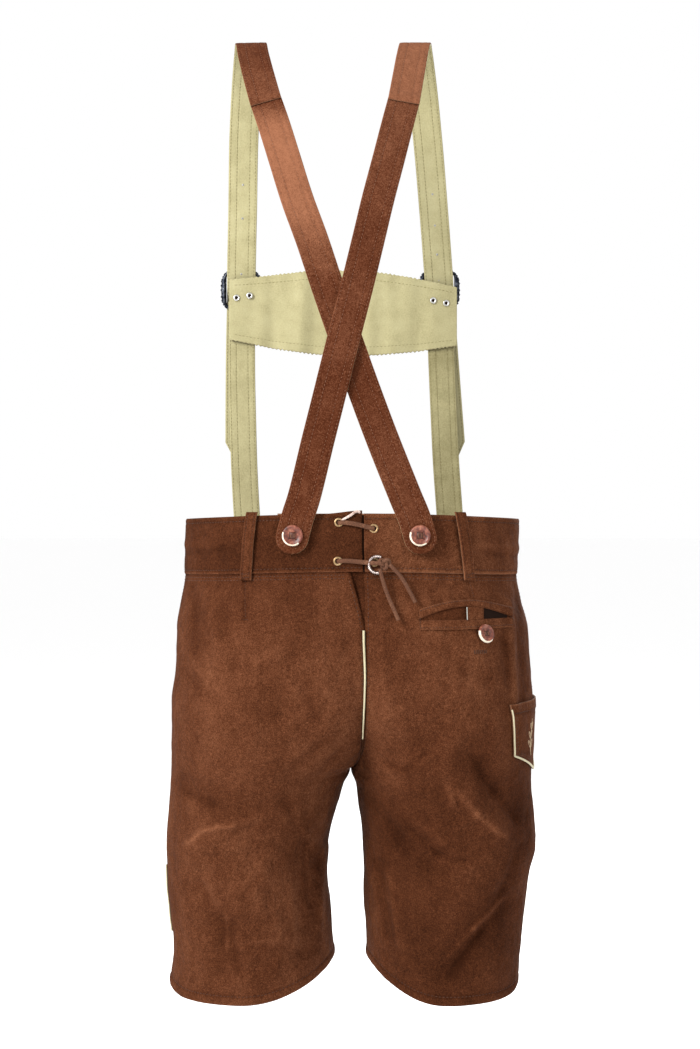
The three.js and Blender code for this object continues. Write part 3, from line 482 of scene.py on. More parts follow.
for _key, _surface in SURFACE.items():
    _heights = np.repeat(Z_TOP - np.arange(Z_COUNT)[:, None], RING_STEPS + 1, 1)
    _places = np.concatenate([_surface["points"], _heights[..., None]], -1)[::3]
    _swell = noise_field(_places, 62, 3.1) * 1.1 + noise_field(_places, 20, 7.7) * 0.45
    _rows = np.arange(Z_COUNT) / 3
    _low = np.minimum(_rows.astype(int), len(_swell) - 2)
    _part = np.clip(_rows - _low, 0, 1)[:, None]
    _surface["swell"] = (_swell[_low] * (1 - _part) + _swell[_low + 1] * _part)[..., None]


CREASE_STRENGTH, CREASE_SKEW, CREASE_NARROW = 0.95, 1.1, 0.72


def crease_relief(half, x, z):
    return line_relief(CREASES, half, x, z, CREASE_SKEW, CREASE_NARROW)


def relief(side, half, u, x, z):
    """How far the suede stands out from the smooth section; folds fade towards the seams."""
    height = line_relief(FOLDS, half, x, z) * (smooth(0, 0.1, u) * smooth(1, 0.88, u))
    near_seams = smooth(0, 0.04, u) * smooth(1, 0.95, u)
    height = height + CREASE_STRENGTH * crease_relief(half, x, z) * near_seams
    swell = sample(SURFACE[side, half]["swell"], u, z)[..., 0] * mix(0.4, 1, smooth(-557, -600, z))
    return height + swell + line_relief(DARTS, half, x, z)


def on_panel(side, half, u, z, lift=0.0):
    """Points of one half, u from 0 at the inner edge to 1 at the side seam, moved out by lift."""
    u, z = np.broadcast_arrays(np.asarray(u, float), np.asarray(z, float))
    surface = SURFACE[side, half]
    p = sample(surface["points"], u, z)
    outward = unit(sample(surface["outward"], u, z))
    out = (lift + relief(side, half, u, p[..., 0], z))[..., None]
    flat = p + outward * out
    return np.concatenate([flat, z[..., None]], -1)


def u_at_x(side, half, x, z):
    """The share u at which a half has the given x, by bisection."""
    x, z = np.broadcast_arrays(np.asarray(x, float), np.asarray(z, float))
    sign = 1 if side == "left" else -1
    points = SURFACE[side, half]["points"]
    low, high = np.zeros(x.shape), np.ones(x.shape)
    for _ in range(24):
        middle = (low + high) / 2
        inside = sign * sample(points, middle, z)[..., 0] < sign * x
        low = np.where(inside, middle, low)
        high = np.where(inside, high, middle)
    return (low + high) / 2


def seam_x(half, z):
    heights = Z_TOP - np.arange(Z_COUNT)
    inner = SURFACE["left", half]["points"][:, 0, 0]
    return np.interp(-np.asarray(z, float), -heights, inner)


def on_body(half, x, z, lift=0.0):
    """Points of the front or back at the given x and z."""
    x, z, lift = np.broadcast_arrays(*(np.asarray(value, float) for value in (x, z, lift)))
    left = x >= seam_x(half, z)
    a = on_panel("left", half, u_at_x("left", half, x, z), z, lift)
    b = on_panel("right", half, u_at_x("right", half, x, z), z, lift)
    return np.where(left[..., None], a, b)


def on_side(side, along, z, lift=0.0):
    """Points beside a side seam: along is the distance from it, positive towards the back."""
    along, z = np.broadcast_arrays(np.asarray(along, float), np.asarray(z, float))
    back = on_panel(side, "back", 1 - np.abs(along) / ring_length(side, "back", z), z, lift)
    front = on_panel(side, "front", 1 - np.abs(along) / ring_length(side, "front", z), z, lift)
    return np.where((along >= 0)[..., None], back, front)


def normal_of(place, x, z, step=1.5):
    """Outward unit normals of a placing function of (x, z)."""
    dx = place(x + step, z) - place(x - step, z)
    dz = place(x, z + step) - place(x, z - step)
    normal = unit(np.cross(dx, dz))
    outward = place(x, z) * (1, 1, 0)
    return normal * np.sign((normal * outward).sum(-1, keepdims=True))


def curve_points(route, step):
    """A centripetal Catmull-Rom curve through the route, at equal steps of about the given length."""
    p = np.array(route, float)
    p = np.concatenate([[2 * p[0] - p[1]], p, [2 * p[-1] - p[-2]]])
    fine = []
    for i in range(1, len(p) - 2):
        a, b, c, d = p[i - 1:i + 3]
        t0 = 0.0
        t1 = t0 + np.linalg.norm(b - a) ** 0.5
        t2 = t1 + np.linalg.norm(c - b) ** 0.5
        t3 = t2 + np.linalg.norm(d - c) ** 0.5
        t = np.linspace(t1, t2, 24, endpoint=False)[:, None]
        ab = (t1 - t) / (t1 - t0) * a + (t - t0) / (t1 - t0) * b
        bc = (t2 - t) / (t2 - t1) * b + (t - t1) / (t2 - t1) * c
        cd = (t3 - t) / (t3 - t2) * c + (t - t2) / (t3 - t2) * d
        abc = (t2 - t) / (t2 - t0) * ab + (t - t0) / (t2 - t0) * bc
        bcd = (t3 - t) / (t3 - t1) * bc + (t - t1) / (t3 - t1) * cd
        fine.append((t2 - t) / (t2 - t1) * abc + (t - t1) / (t2 - t1) * bcd)
    fine = np.concatenate(fine + [p[-2:-1]])
    return even_steps(fine, step)


def even_steps(line, step):
    """The same line at equal steps."""
    lengths = np.concatenate([[0], np.cumsum(np.linalg.norm(np.diff(line, axis=0), axis=1))])
    count = max(2, int(round(lengths[-1] / step)))
    want = np.linspace(0, lengths[-1], count + 1)
    return np.stack([np.interp(want, lengths, line[:, i]) for i in range(3)], 1)


# ---- Meshes --------------------------------------------------------------------------------------
def make_piece(name, vertices, faces, materials, slot, replaces=(), indices=None, wear_and_painted_light=None):
    """A mesh piece in metres that rides the root body and stands for CAD nodes."""
    mesh = bpy.data.meshes.new(name)
    mesh.from_pydata((np.asarray(vertices) * MM).tolist(), [], faces)
    mesh.polygons.foreach_set("use_smooth", [True] * len(mesh.polygons))
    for material in materials:
        mesh.materials.append(material)
    if indices is not None:
        mesh.polygons.foreach_set("material_index", indices)
    # A per-point shift of the tone: painted light and shade, together with worn places.
    if wear_and_painted_light is not None:
        worn_and_lit = mesh.attributes.new("wear_and_painted_light", "FLOAT", "POINT")
        worn_and_lit.data.foreach_set("value", np.asarray(wear_and_painted_light, float).ravel())
    mesh.update()
    piece = bpy.data.objects.new(name, mesh)
    bpy.context.collection.objects.link(piece)
    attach(piece, "root")
    if replaces:
        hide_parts(*replaces)
    return piece


def signed_volume(vertices, faces):
    total = 0.0
    v = np.asarray(vertices)
    by_size = {}
    for f in faces:
        by_size.setdefault(len(f), []).append(f)
    for size, group in by_size.items():
        index = np.array(group)
        for k in range(1, size - 1):
            a, b, c = v[index[:, 0]], v[index[:, k]], v[index[:, k + 1]]
            total += (a * np.cross(b, c)).sum()
    return total


def facing_out(vertices, faces):
    if signed_volume(vertices, faces) < 0:
        return [f[::-1] for f in faces]
    return faces


def wall_data(outer, inner):
    """Vertices and faces of a closed wall between two grids of points, both [row][column]."""
    rows, columns = outer.shape[:2]
    half = rows * columns
    index = np.arange(half).reshape(rows, columns)
    a, b = index[:-1, :-1].ravel(), index[:-1, 1:].ravel()
    c, d = index[1:, 1:].ravel(), index[1:, :-1].ravel()
    faces = np.stack([a, b, c, d], 1).tolist()
    faces += (np.stack([a, d, c, b], 1) + half).tolist()
    border = np.concatenate([index[0, :], index[1:, -1], index[-1, -2::-1], index[-2:0:-1, 0]])
    ahead = np.roll(border, -1)
    faces += np.stack([ahead, border, border + half, ahead + half], 1).tolist()
    vertices = np.concatenate([outer.reshape(-1, 3), inner.reshape(-1, 3)])
    return vertices, facing_out(vertices, faces)


def loft_data(rings, endless=False):
    """Vertices and faces of a closed loft through rings of equal length, with flat ends or none."""
    rings = np.asarray(rings)
    count, size = rings.shape[:2]
    index = np.arange(count * size).reshape(count, size)
    rows = np.concatenate([index, index[:1]]) if endless else index
    ahead = np.roll(rows, -1, axis=1)
    corners = [rows[:-1], ahead[:-1], ahead[1:], rows[1:]]
    faces = np.stack([corner.ravel() for corner in corners], 1).tolist()
    if not endless:
        faces.append(index[0, ::-1].tolist())
        faces.append(index[-1].tolist())
    vertices = rings.reshape(-1, 3)
    return vertices, facing_out(vertices, faces)


def join_data(parts):
    """Several (vertices, faces) joined into one."""
    vertices, faces, base = [], [], 0
    for v, f in parts:
        vertices.append(np.asarray(v))
        faces += [[i + base for i in face] for face in f]
        base += len(v)
    return np.concatenate(vertices), faces


def tube_data(line, radius, sides=8, flatten=1.0, up=None):
    """A closed tube along a line; radius may be one number or one for each point."""
    line = np.asarray(line, float)
    along = unit(np.gradient(line, axis=0))
    guide = np.array([0.0, 1.0, 0.0]) if up is None else np.asarray(up, float)
    across = unit(np.cross(along, guide))
    out = unit(np.cross(across, along))
    radius = np.broadcast_to(np.asarray(radius, float), len(line))[:, None, None]
    angle = np.linspace(0, 2 * math.pi, sides, endpoint=False)
    cosine, sine = np.cos(angle)[None, :, None], np.sin(angle)[None, :, None]
    return loft_data(line[:, None] + radius * (cosine * across[:, None] + flatten * sine * out[:, None]))


# ---- Stitches ------------------------------------------------------------------------------------
STITCH_SECTION = np.array([[-0.6, -0.45], [-0.42, 0.4], [0.42, 0.4], [0.6, -0.45]])
STITCH_RINGS = [(0, 0.35, -0.25), (0.5, 1, 0), (1, 0.35, -0.25)]  # share of the length, size, lift


def stitches(line, normals, pitch=3.8, share=0.66, width=0.75, tall=0.42, sink=0.1):
    """A row of raised stitches along a line of points with outward normals: vertices and faces."""
    line = np.asarray(line, float)
    steps = np.linalg.norm(np.diff(line, axis=0), axis=1)
    lengths = np.concatenate([[0], np.cumsum(steps)])
    count = int(lengths[-1] / pitch)
    if count < 1:
        return np.zeros((0, 3)), []
    starts = (np.arange(count) + 0.5 * (1 - share)) * lengths[-1] / count
    reach = share * lengths[-1] / count

    def at(values, where):
        return np.stack([np.interp(where, lengths, values[:, i]) for i in range(3)], 1)

    rings = []
    for t, size, low in STITCH_RINGS:
        where = starts + t * reach
        centre, out = at(line, where), unit(at(normals, where))
        along = unit(at(line, np.minimum(where + 0.5, lengths[-1])) - at(line, np.maximum(where - 0.5, 0)))
        across = unit(np.cross(along, out))
        section = STITCH_SECTION * (width * size, tall * size)
        ring = (centre[:, None] + section[None, :, :1] * across[:, None]
                + (section[None, :, 1:] + tall * 0.45 - sink + low * tall) * out[:, None])
        rings.append(ring)
    rings = np.stack(rings, 1)
    sides = len(STITCH_SECTION)
    vertices = rings.reshape(-1, 3)
    faces = []
    block = len(STITCH_RINGS) * sides
    for s in range(count):
        base = s * block
        for r in range(len(STITCH_RINGS) - 1):
            for j in range(sides):
                k = (j + 1) % sides
                faces.append([base + r * sides + j, base + r * sides + k,
                              base + (r + 1) * sides + k, base + (r + 1) * sides + j])
        faces.append([base + j for j in range(sides)][::-1])
        faces.append([base + block - sides + j for j in range(sides)])
    return vertices, facing_out(vertices, faces)


def surface_stitches(place, xs, zs, lift, **style):
    """A row of stitches on a placing function of (x, z) at the given lift, one number or a column."""
    xs, zs = np.broadcast_arrays(np.asarray(xs, float), np.asarray(zs, float))
    base = place(xs, zs)
    normals = normal_of(place, xs, zs)
    return stitches(base + normals * lift, normals, **style)


# ---- Materials -----------------------------------------------------------------------------------
def plain_material(name, colour, roughness, metallic=0.0):
    material = bpy.data.materials.new(name)
    material.use_nodes = True
    shader = material.node_tree.nodes["Principled BSDF"]
    shader.inputs["Base Color"].default_value = (*colour, 1)
    shader.inputs["Roughness"].default_value = roughness
    shader.inputs["Metallic"].default_value = metallic
    shader.inputs["Specular IOR Level"].default_value = 0.05
    return material


def add_node(tree, kind, inputs, **settings):
    """A node whose inputs are numbers, vectors or links from other nodes."""
    made = tree.nodes.new(kind)
    for key, value in settings.items():
        setattr(made, key, value)
    for key, value in inputs.items():
        if isinstance(value, bpy.types.NodeSocket):
            tree.links.new(value, made.inputs[key])
        else:
            made.inputs[key].default_value = value
    return made


def noise_node(tree, place, scale, detail, **more):
    inputs = {"Vector": place, "Scale": scale, "Detail": detail, **more}
    return add_node(tree, "ShaderNodeTexNoise", inputs).outputs[0]


def maths(tree, operation, *values):
    return add_node(tree, "ShaderNodeMath", dict(enumerate(values)), operation=operation).outputs[0]


def ranged(tree, value, low, high, at_low, at_high):
    """The value moved from one range to another, and held inside it."""
    inputs = {"Value": value, 1: low, 2: high, 3: at_low, 4: at_high}
    return add_node(tree, "ShaderNodeMapRange", inputs).outputs[0]


RIDGE_TONE, RIDGE_DEPTH, UNEVEN_DEPTH = 0.05, 0.0009, 0.010


def creased(tree, place):
    """Thin winding ridges where a slow noise crosses its middle, masked by another, and an unevenness."""
    slow = noise_node(tree, place, 13.0, 3.0, Distortion=0.7)
    away = maths(tree, "ABSOLUTE", maths(tree, "SUBTRACT", slow, 0.5))
    ridge = ranged(tree, away, 0.0, 0.022, 1.0, 0.0)
    mask = ranged(tree, noise_node(tree, place, 8.0, 2.0), 0.5, 0.62, 0.0, 1.0)
    return maths(tree, "MULTIPLY", ridge, mask), noise_node(tree, place, 55.0, 3.0)


def toned_material(name, tones, grains, roughness, bump, sheen=0.0, metallic=0.0, wear_and_painted_light=0.0, specular=0.3,
                   crumple=0.0):
    """Three tones, from dark to light, mixed by noises: grains are (scale, weight, stretch)."""
    material = plain_material(name, tones[1], roughness, metallic)
    tree = material.node_tree
    shader = tree.nodes["Principled BSDF"]
    place = add_node(tree, "ShaderNodeTexCoord", {}).outputs["Object"]
    tone = 0.5 - sum(weight for _, weight, _ in grains) / 2
    for scale, weight, stretch in grains:
        where = add_node(tree, "ShaderNodeMapping", {"Vector": place, "Scale": stretch}).outputs[0]
        tone = maths(tree, "MULTIPLY_ADD", noise_node(tree, where, scale, 4.0), weight, tone)
    # The mesh's per-point painted light and shade, with worn places, move the tone lighter or darker.
    if wear_and_painted_light:
        worn_and_lit = add_node(tree, "ShaderNodeAttribute", {}, attribute_name="wear_and_painted_light").outputs["Fac"]
        tone = maths(tree, "MULTIPLY_ADD", worn_and_lit, wear_and_painted_light, tone)
    if crumple:
        ridge, uneven = creased(tree, place)
        # The ridges are painted lighter, as a painted highlight along them.
        tone = maths(tree, "MULTIPLY_ADD", ridge, RIDGE_TONE, tone)
    ramp = add_node(tree, "ShaderNodeValToRGB", {0: tone})
    ramp.color_ramp.elements[0].position = 0.1
    ramp.color_ramp.elements[1].position = 1.0
    ramp.color_ramp.elements.new(0.5)
    for element, colour in zip(ramp.color_ramp.elements, tones):
        element.color = (*colour, 1)
    tree.links.new(ramp.outputs[0], shader.inputs["Base Color"])
    scale, strength, distance = bump
    inputs = {"Height": noise_node(tree, place, scale, 5.0), "Strength": strength, "Distance": distance}
    raised = add_node(tree, "ShaderNodeBump", inputs).outputs[0]
    if crumple:
        for height, depth in ((ridge, RIDGE_DEPTH), (uneven, UNEVEN_DEPTH)):
            inputs = {"Height": height, "Strength": crumple, "Distance": depth, "Normal": raised}
            raised = add_node(tree, "ShaderNodeBump", inputs).outputs[0]
    tree.links.new(raised, shader.inputs["Normal"])
    shader.inputs["Sheen Weight"].default_value = sheen
    shader.inputs["Sheen Roughness"].default_value = 0.6
    shader.inputs["Sheen Tint"].default_value = (*tones[2], 1)
    shader.inputs["Specular IOR Level"].default_value = specular
    return material


EVEN, UPRIGHT = (1, 1, 1), (1, 1, 0.45)
NAP = [(6, 0.45, EVEN), (22, 0.55, UPRIGHT), (75, 0.25, EVEN), (300, 0.3, EVEN), (1200, 1.3, EVEN)]
STRAP_NAP = [(9, 0.25, EVEN), (45, 0.2, EVEN), (300, 0.25, EVEN), (1200, 0.9, EVEN)]
SMOOTH_GRAIN = [(9, 0.5, EVEN), (60, 0.4, EVEN), (700, 0.5, EVEN)]
HORN_GRAIN = [(130, 1.4, EVEN), (420, 1.2, EVEN)]
FINE_GRAIN, THREAD_GRAIN = [(300, 1.2, EVEN)], [(500, 1.2, EVEN)]
THREAD_BUMP = (2400, 0.4, 0.0002)

MATERIALS = {  # look: name, dark, middle and light tone, grains, roughness, bump, settings
    "suede": ("suede_brown", (0.020, 0.0054, 0.0017), (0.062, 0.0190, 0.0072), (0.168, 0.064, 0.030),
              NAP, 0.95, (900, 0.7, 0.0008), {"sheen": 0.04, "wear_and_painted_light": 0.9, "specular": 0.04, "crumple": 0.7}),
    "suede_inside": ("suede_flesh_side", (0.12, 0.05, 0.025), (0.20, 0.095, 0.052), (0.30, 0.16, 0.10),
                     NAP, 0.97, (900, 0.5, 0.0006), {"sheen": 0.1, "specular": 0.1}),
    "suede_edge": ("suede_cut_edge", (0.05, 0.02, 0.009), (0.125, 0.055, 0.028), (0.22, 0.115, 0.068),
                   THREAD_GRAIN, 0.95, (1200, 0.5, 0.0004), {"specular": 0.1}),
    "strap": ("strap_suede", (0.020, 0.0050, 0.0015), (0.053, 0.0130, 0.0042), (0.21, 0.084, 0.043),
              STRAP_NAP, 0.95, (1300, 0.5, 0.0006),
              {"sheen": 0.03, "wear_and_painted_light": 0.9, "specular": 0.05, "crumple": 0.35}),
    "cream": ("cream_leather", (0.18, 0.157, 0.075), (0.312, 0.282, 0.152), (0.44, 0.405, 0.245),
              SMOOTH_GRAIN, 0.8, (800, 0.35, 0.0004), {"sheen": 0.06, "wear_and_painted_light": 1.0, "specular": 0.15}),
    "piping": ("cream_piping", (0.30, 0.26, 0.15), (0.45, 0.40, 0.26), (0.55, 0.51, 0.36),
               SMOOTH_GRAIN, 0.65, (900, 0.3, 0.0003), {}),
    "horn": ("mottled_horn", (0.035, 0.007, 0.003), (0.135, 0.028, 0.012), (0.34, 0.13, 0.075),
             HORN_GRAIN, 0.42, (500, 0.3, 0.0004), {"specular": 0.5}),
    "horn_deep": ("dark_horn", (0.02, 0.006, 0.003), (0.055, 0.016, 0.008), (0.13, 0.05, 0.028),
                  FINE_GRAIN, 0.5, (500, 0.3, 0.0004), {}),
    "horn_rim": ("pale_horn", (0.40, 0.30, 0.20), (0.62, 0.54, 0.42), (0.78, 0.74, 0.64),
                 FINE_GRAIN, 0.4, (500, 0.25, 0.0003), {"specular": 0.5}),
    "lace": ("lace_leather", (0.028, 0.0095, 0.004), (0.085, 0.032, 0.0145), (0.22, 0.105, 0.056),
             [(60, 0.7, EVEN), (900, 0.9, EVEN)], 0.8, (1100, 0.4, 0.0004), {"specular": 0.25}),
    "brass": ("aged_brass", (0.16, 0.09, 0.04), (0.34, 0.22, 0.11), (0.52, 0.38, 0.22),
              FINE_GRAIN, 0.38, (800, 0.2, 0.0002), {"metallic": 0.9}),
    "nickel": ("worn_nickel", (0.34, 0.33, 0.32), (0.56, 0.55, 0.53), (0.74, 0.73, 0.71),
               [(260, 1.0, EVEN)], 0.3, (700, 0.15, 0.0002), {"metallic": 1.0}),
    "ring": ("dulled_ring_metal", (0.10, 0.075, 0.07), (0.33, 0.27, 0.25), (0.66, 0.60, 0.56),
             [(260, 1.4, EVEN)], 0.35, (700, 0.15, 0.0002), {"metallic": 0.9}),
    "buckle": ("blackened_silver", (0.003, 0.004, 0.006), (0.012, 0.014, 0.021), (0.13, 0.14, 0.16),
               [(220, 1.6, EVEN), (800, 0.8, EVEN)], 0.4, (600, 0.4, 0.0006), {"metallic": 0.9}),
    "thread": ("brown_thread", (0.016, 0.006, 0.003), (0.042, 0.0155, 0.0075), (0.12, 0.055, 0.03),
               THREAD_GRAIN, 0.85, THREAD_BUMP, {}),
    "strap_thread": ("tan_thread", (0.09, 0.035, 0.017), (0.15, 0.064, 0.034), (0.22, 0.11, 0.066),
                     THREAD_GRAIN, 0.85, THREAD_BUMP, {}),
    "cream_thread": ("ochre_thread", (0.10, 0.085, 0.03), (0.17, 0.145, 0.06), (0.27, 0.235, 0.11),
                     THREAD_GRAIN, 0.85, THREAD_BUMP, {}),
    "twist": ("pale_twisted_thong", (0.24, 0.14, 0.11), (0.50, 0.38, 0.33), (0.72, 0.64, 0.58),
              [(420, 1.6, EVEN)], 0.7, (1500, 0.4, 0.0003), {}),
    "embroidery": ("embroidery_thread", (0.24, 0.15, 0.08), (0.42, 0.30, 0.18), (0.58, 0.47, 0.32),
                   THREAD_GRAIN, 0.7, THREAD_BUMP, {}),
    "grey": ("grey_selvage", (0.20, 0.19, 0.16), (0.34, 0.33, 0.29), (0.48, 0.47, 0.43),
             [(500, 1.0, EVEN)], 0.8, (1400, 0.4, 0.0003), {}),
}


def make_materials():
    """Every material by its look."""
    made = {}
    for look, (name, *tones, grains, roughness, bump, settings) in MATERIALS.items():
        made[look] = toned_material(name, tones, grains, roughness, bump, **settings)
    made["hole"] = plain_material("hole_grey", (0.16, 0.17, 0.17), 0.9)
    made["dark"] = plain_material("deep_shadow_brown", (0.012, 0.006, 0.004), 1.0)
    return made


# ---- Turned and swept shapes ---------------------------------------------------------------------
def frame_of(outward):
    """Unit vectors: level, upwards and outwards."""
    n = unit(np.asarray(outward, float))
    guide = np.array([0, 0, 1.0]) if abs(n[2]) < 0.9 else np.array([0, 1.0, 0])
    a = unit(np.cross(guide, n))
    return a, np.cross(n, a), n


def turned_data(profile, centre, outward, steps=28, hollow=False):
    """A body turned about outward; profile rows are (radius, height). A hollow one closes on itself."""
    a, b, n = frame_of(outward)
    angle = np.linspace(0, 2 * math.pi, steps, endpoint=False)
    circle = np.cos(angle)[:, None] * a + np.sin(angle)[:, None] * b
    rings = [np.asarray(centre) + radius * circle + height * n for radius, height in profile]
    return loft_data(rings, endless=hollow)


def bead_data(centre, radius, steps=8):
    shares = ((0.02, -1), (0.7, -0.7), (1, 0), (0.7, 0.7), (0.02, 1))
    return turned_data([(wide * radius, high * radius) for wide, high in shares], centre, (0, 1, 0), steps)


def pillow(t, power=4):
    """A rounded profile: 0 at both ends and 1 in between."""
    return np.sqrt(np.clip(1 - np.abs(2 * np.asarray(t) - 1) ** power, 0, 1))


def level(value):
    """A function that has this value everywhere."""
    return lambda *where: value + 0 * where[0]


def wall_parts(outer):
    """Material index of each face of a wall: outside, inside and cut edge."""
    rows, columns = outer.shape[:2]
    flat = (rows - 1) * (columns - 1)
    return [0] * flat + [1] * flat + [2] * (2 * (rows + columns) - 4)


def cloth(node, outer, inner, materials, slot, wear_and_painted_light=None, name=None, worn_and_lit_inside=False):
    """A wall of cloth that stands for a CAD node."""
    vertices, faces = wall_data(outer, inner)
    # The painted light and shade go on the inside faces too when asked.
    if wear_and_painted_light is not None:
        wear_and_painted_light = np.concatenate([wear_and_painted_light.ravel(), wear_and_painted_light.ravel() * worn_and_lit_inside])
    return make_piece(name or node + "_cloth", vertices, faces, materials, slot,
                      (node,) if node else (), wall_parts(outer), wear_and_painted_light)


def cut_suede(look):
    """Materials of a wall of suede whose cut edges show."""
    return [look["suede"], look["suede"], look["suede_edge"]]


def fitting(node, parts, materials, slot, name=None):
    """A hard piece joined from (data, material index) parts."""
    vertices, faces = join_data([data for data, _ in parts])
    indices = [index for data, index in parts for _ in data[1]]
    replaced = (node,) if node else ()
    return make_piece(name or node + "_detail", vertices, faces, materials, slot, replaced, indices)


def piping(node, line, radius, flatten, up, look):
    """A sewn cord of cream leather along a line."""
    fitting(node, [(tube_data(line, radius, 8, flatten, up), 0)], [look["piping"]], "cream_piping")


def stitching(name, rows, material, slot):
    vertices, faces = join_data([row for row in rows if len(row[1])])
    return make_piece(name, vertices, faces, [material], slot)


# ---- Shorts --------------------------------------------------------------------------------------
def waist_top_at(u):
    """Height of the waistband's top; u runs from the centre seam to the side seam."""
    return WAIST_TOP - 5 * smooth(0, 1, u)


def waist_join_at(u):
    return WAIST_JOIN - 5 * smooth(0, 1, u)


def hem_at(side, u):
    return HEM_LOW + HEM_RISE * (1 - smooth(*HEM_TURN[side], u)) + HEM_SIDE_RISE * smooth(0.78, 1, u)


HEM_DEPTH = 9.0
PANEL_COLUMNS = {"back": 140, "front": 96}
PANEL_ROW_STEP = {"back": 2.2, "front": 3.0}


def seam_u(side, half, u, z):
    edge = SEAM / 2 / ring_length(side, half, z)
    return mix(edge, 1 - edge, u)


def vent_opened(z):
    """Width of the V under the waistband at height z."""
    return VENT_OPEN * np.clip((z - VENT_FOOT) / (WAIST_JOIN - VENT_FOOT), 0, 1)


def vent_shift(side, half, u, z):
    """How far, as a share of the ring, the left back panel opens at the V."""
    return (1 - u) * vent_opened(z) / ring_length(side, half, z) if (side, half) == ("left", "back") else 0.0


def panel_places(side, half, down):
    """u and z of the grid of a panel whose rows are this far below the waistband."""
    depth = WAIST_JOIN - HEM_LOW
    down, u = np.meshgrid(down, np.linspace(0, 1, PANEL_COLUMNS[half] + 1), indexing="ij")
    z = WAIST_JOIN - down + (waist_join_at(u) - SEAM - WAIST_JOIN) * (1 - smooth(0, 80, down))
    z = z + (hem_at(side, u) - HEM_LOW) * smooth(depth - 110, depth, down)
    return seam_u(side, half, u, z) + vent_shift(side, half, u, z), z, u


def make_panel(side, half, look):
    depth = WAIST_JOIN - HEM_LOW
    middle = np.arange(12, depth - 14, PANEL_ROW_STEP[half])
    down = np.concatenate([np.arange(0, 12, 1.2), middle, np.linspace(depth - 14, depth, 15)])
    u, z, grid_u = panel_places(side, half, down)
    length = ring_length(side, half, z)
    seams = np.exp(-(grid_u * length / 1.8) ** 2) + np.exp(-((1 - grid_u) * length / 1.8) ** 2)
    above_hem = depth - down[:, None]
    hem = 0.5 * smooth(HEM_DEPTH + 2, HEM_DEPTH - 1, above_hem)
    hem = hem - 0.9 * np.exp(-((above_hem - HEM_DEPTH) / 1.3) ** 2)
    end = -0.7 * np.exp(-(above_hem / 1.2) ** 2)
    lift = hem + end - 0.9 * seams
    inner = on_panel(side, half, u, z, -LEATHER)
    x = inner[..., 0]
    raised = relief(side, half, np.clip(u, 0, 1), x, z)
    # Painted light and shade in the tone: lighter on raised relief and crease ridges and darker in their
    # troughs, darker at the seams and in the hem's fold, a painted highlight along the hem's foot, a painted
    # shadow just under the waistband and the broad painted shade, with the scuffed lines.
    wear_and_painted_light = np.clip(raised * 0.02, -0.1, 0.1) + 0.05 * crease_relief(half, x, z) - 0.10 * seams
    wear_and_painted_light = wear_and_painted_light - 0.10 * np.exp(-((above_hem - HEM_DEPTH) / 2) ** 2)
    wear_and_painted_light = wear_and_painted_light + 0.16 * np.exp(-(above_hem / 1.5) ** 2) + 0.4 * line_relief(SCUFFS_AND_CREASE_SHADE, half, x, z)
    wear_and_painted_light = wear_and_painted_light - 0.22 * np.exp(-(down / 2.2) ** 2)[:, None] - broad_shade(side, half, x, z)
    piece = cloth(f"{half}_panel_{side}", on_panel(side, half, u, z, lift), inner,
                  [look["suede"], look["suede_inside"], look["suede_edge"]], "shorts_suede", wear_and_painted_light)


BAND_PEAK = 3.0  # the left half's top corner stands this much higher at the split
SPLIT_GAP = {"left": 0.2, "right": 1.3}
BAND_SHADE = {"left": 0.14, "right": -0.10}


def make_waistband(side, half, look):
    t = np.linspace(0, 1, 34)[:, None]
    u = np.linspace(0, 1, PANEL_COLUMNS[half] + 1)[None, :]
    z = mix(waist_top_at(u), waist_join_at(u), t)
    if half == "back":
        peak = BAND_PEAK if side == "left" else 0
        z = z + peak * (1 - t) * (1 - smooth(0, 0.16, u))
        u = mix(SPLIT_GAP[side] / ring_length(side, half, z), 1, u)
    u = seam_u(side, half, u, z)
    edge = 1 - pillow(t, 14)
    groove = np.exp(-((t - 0.09) / 0.02) ** 2) + np.exp(-((t - 0.93) / 0.02) ** 2)
    outer = on_panel(side, half, u, z, BAND_PROUD - 0.9 * edge - 0.45 * groove)
    inner = on_panel(side, half, u, z, BAND_PROUD - BAND + 0.7 * edge)
    x = inner[..., 0]
    # Painted highlights along the band's top and lower edges, BAND_SHADE painting the left half darker and
    # the right half lighter, painted shade in the stitch grooves, light and shade following the relief, and
    # the scuffed lines.
    rim = 0.12 * np.exp(-(t / 0.03) ** 2) + 0.42 * np.exp(-((1 - t) / 0.03) ** 2) - BAND_SHADE[side]
    wear_and_painted_light = line_relief(SCUFFS_AND_CREASE_SHADE, half, x, z) + 0.06 * relief(side, half, u, x, z) - 0.12 * groove + rim
    piece = cloth(f"waistband_{half}_{side}", outer, inner,
                  [look["suede"], look["suede_inside"], look["suede"]], "shorts_suede", wear_and_painted_light)


def patch_grids(half, xs, top, bottom, rows, low, high):
    """Outer and inner grids of a patch; top and bottom give z at x, low and high give lifts at (s, t)."""
    s, t = np.meshgrid(np.linspace(0, 1, len(xs)), np.linspace(0, 1, rows), indexing="xy")
    x = np.broadcast_to(np.asarray(xs, float), s.shape)
    z = mix(top(x), bottom(x), t)
    return on_body(half, x, z, high(s, t)), on_body(half, x, z, low(s, t))


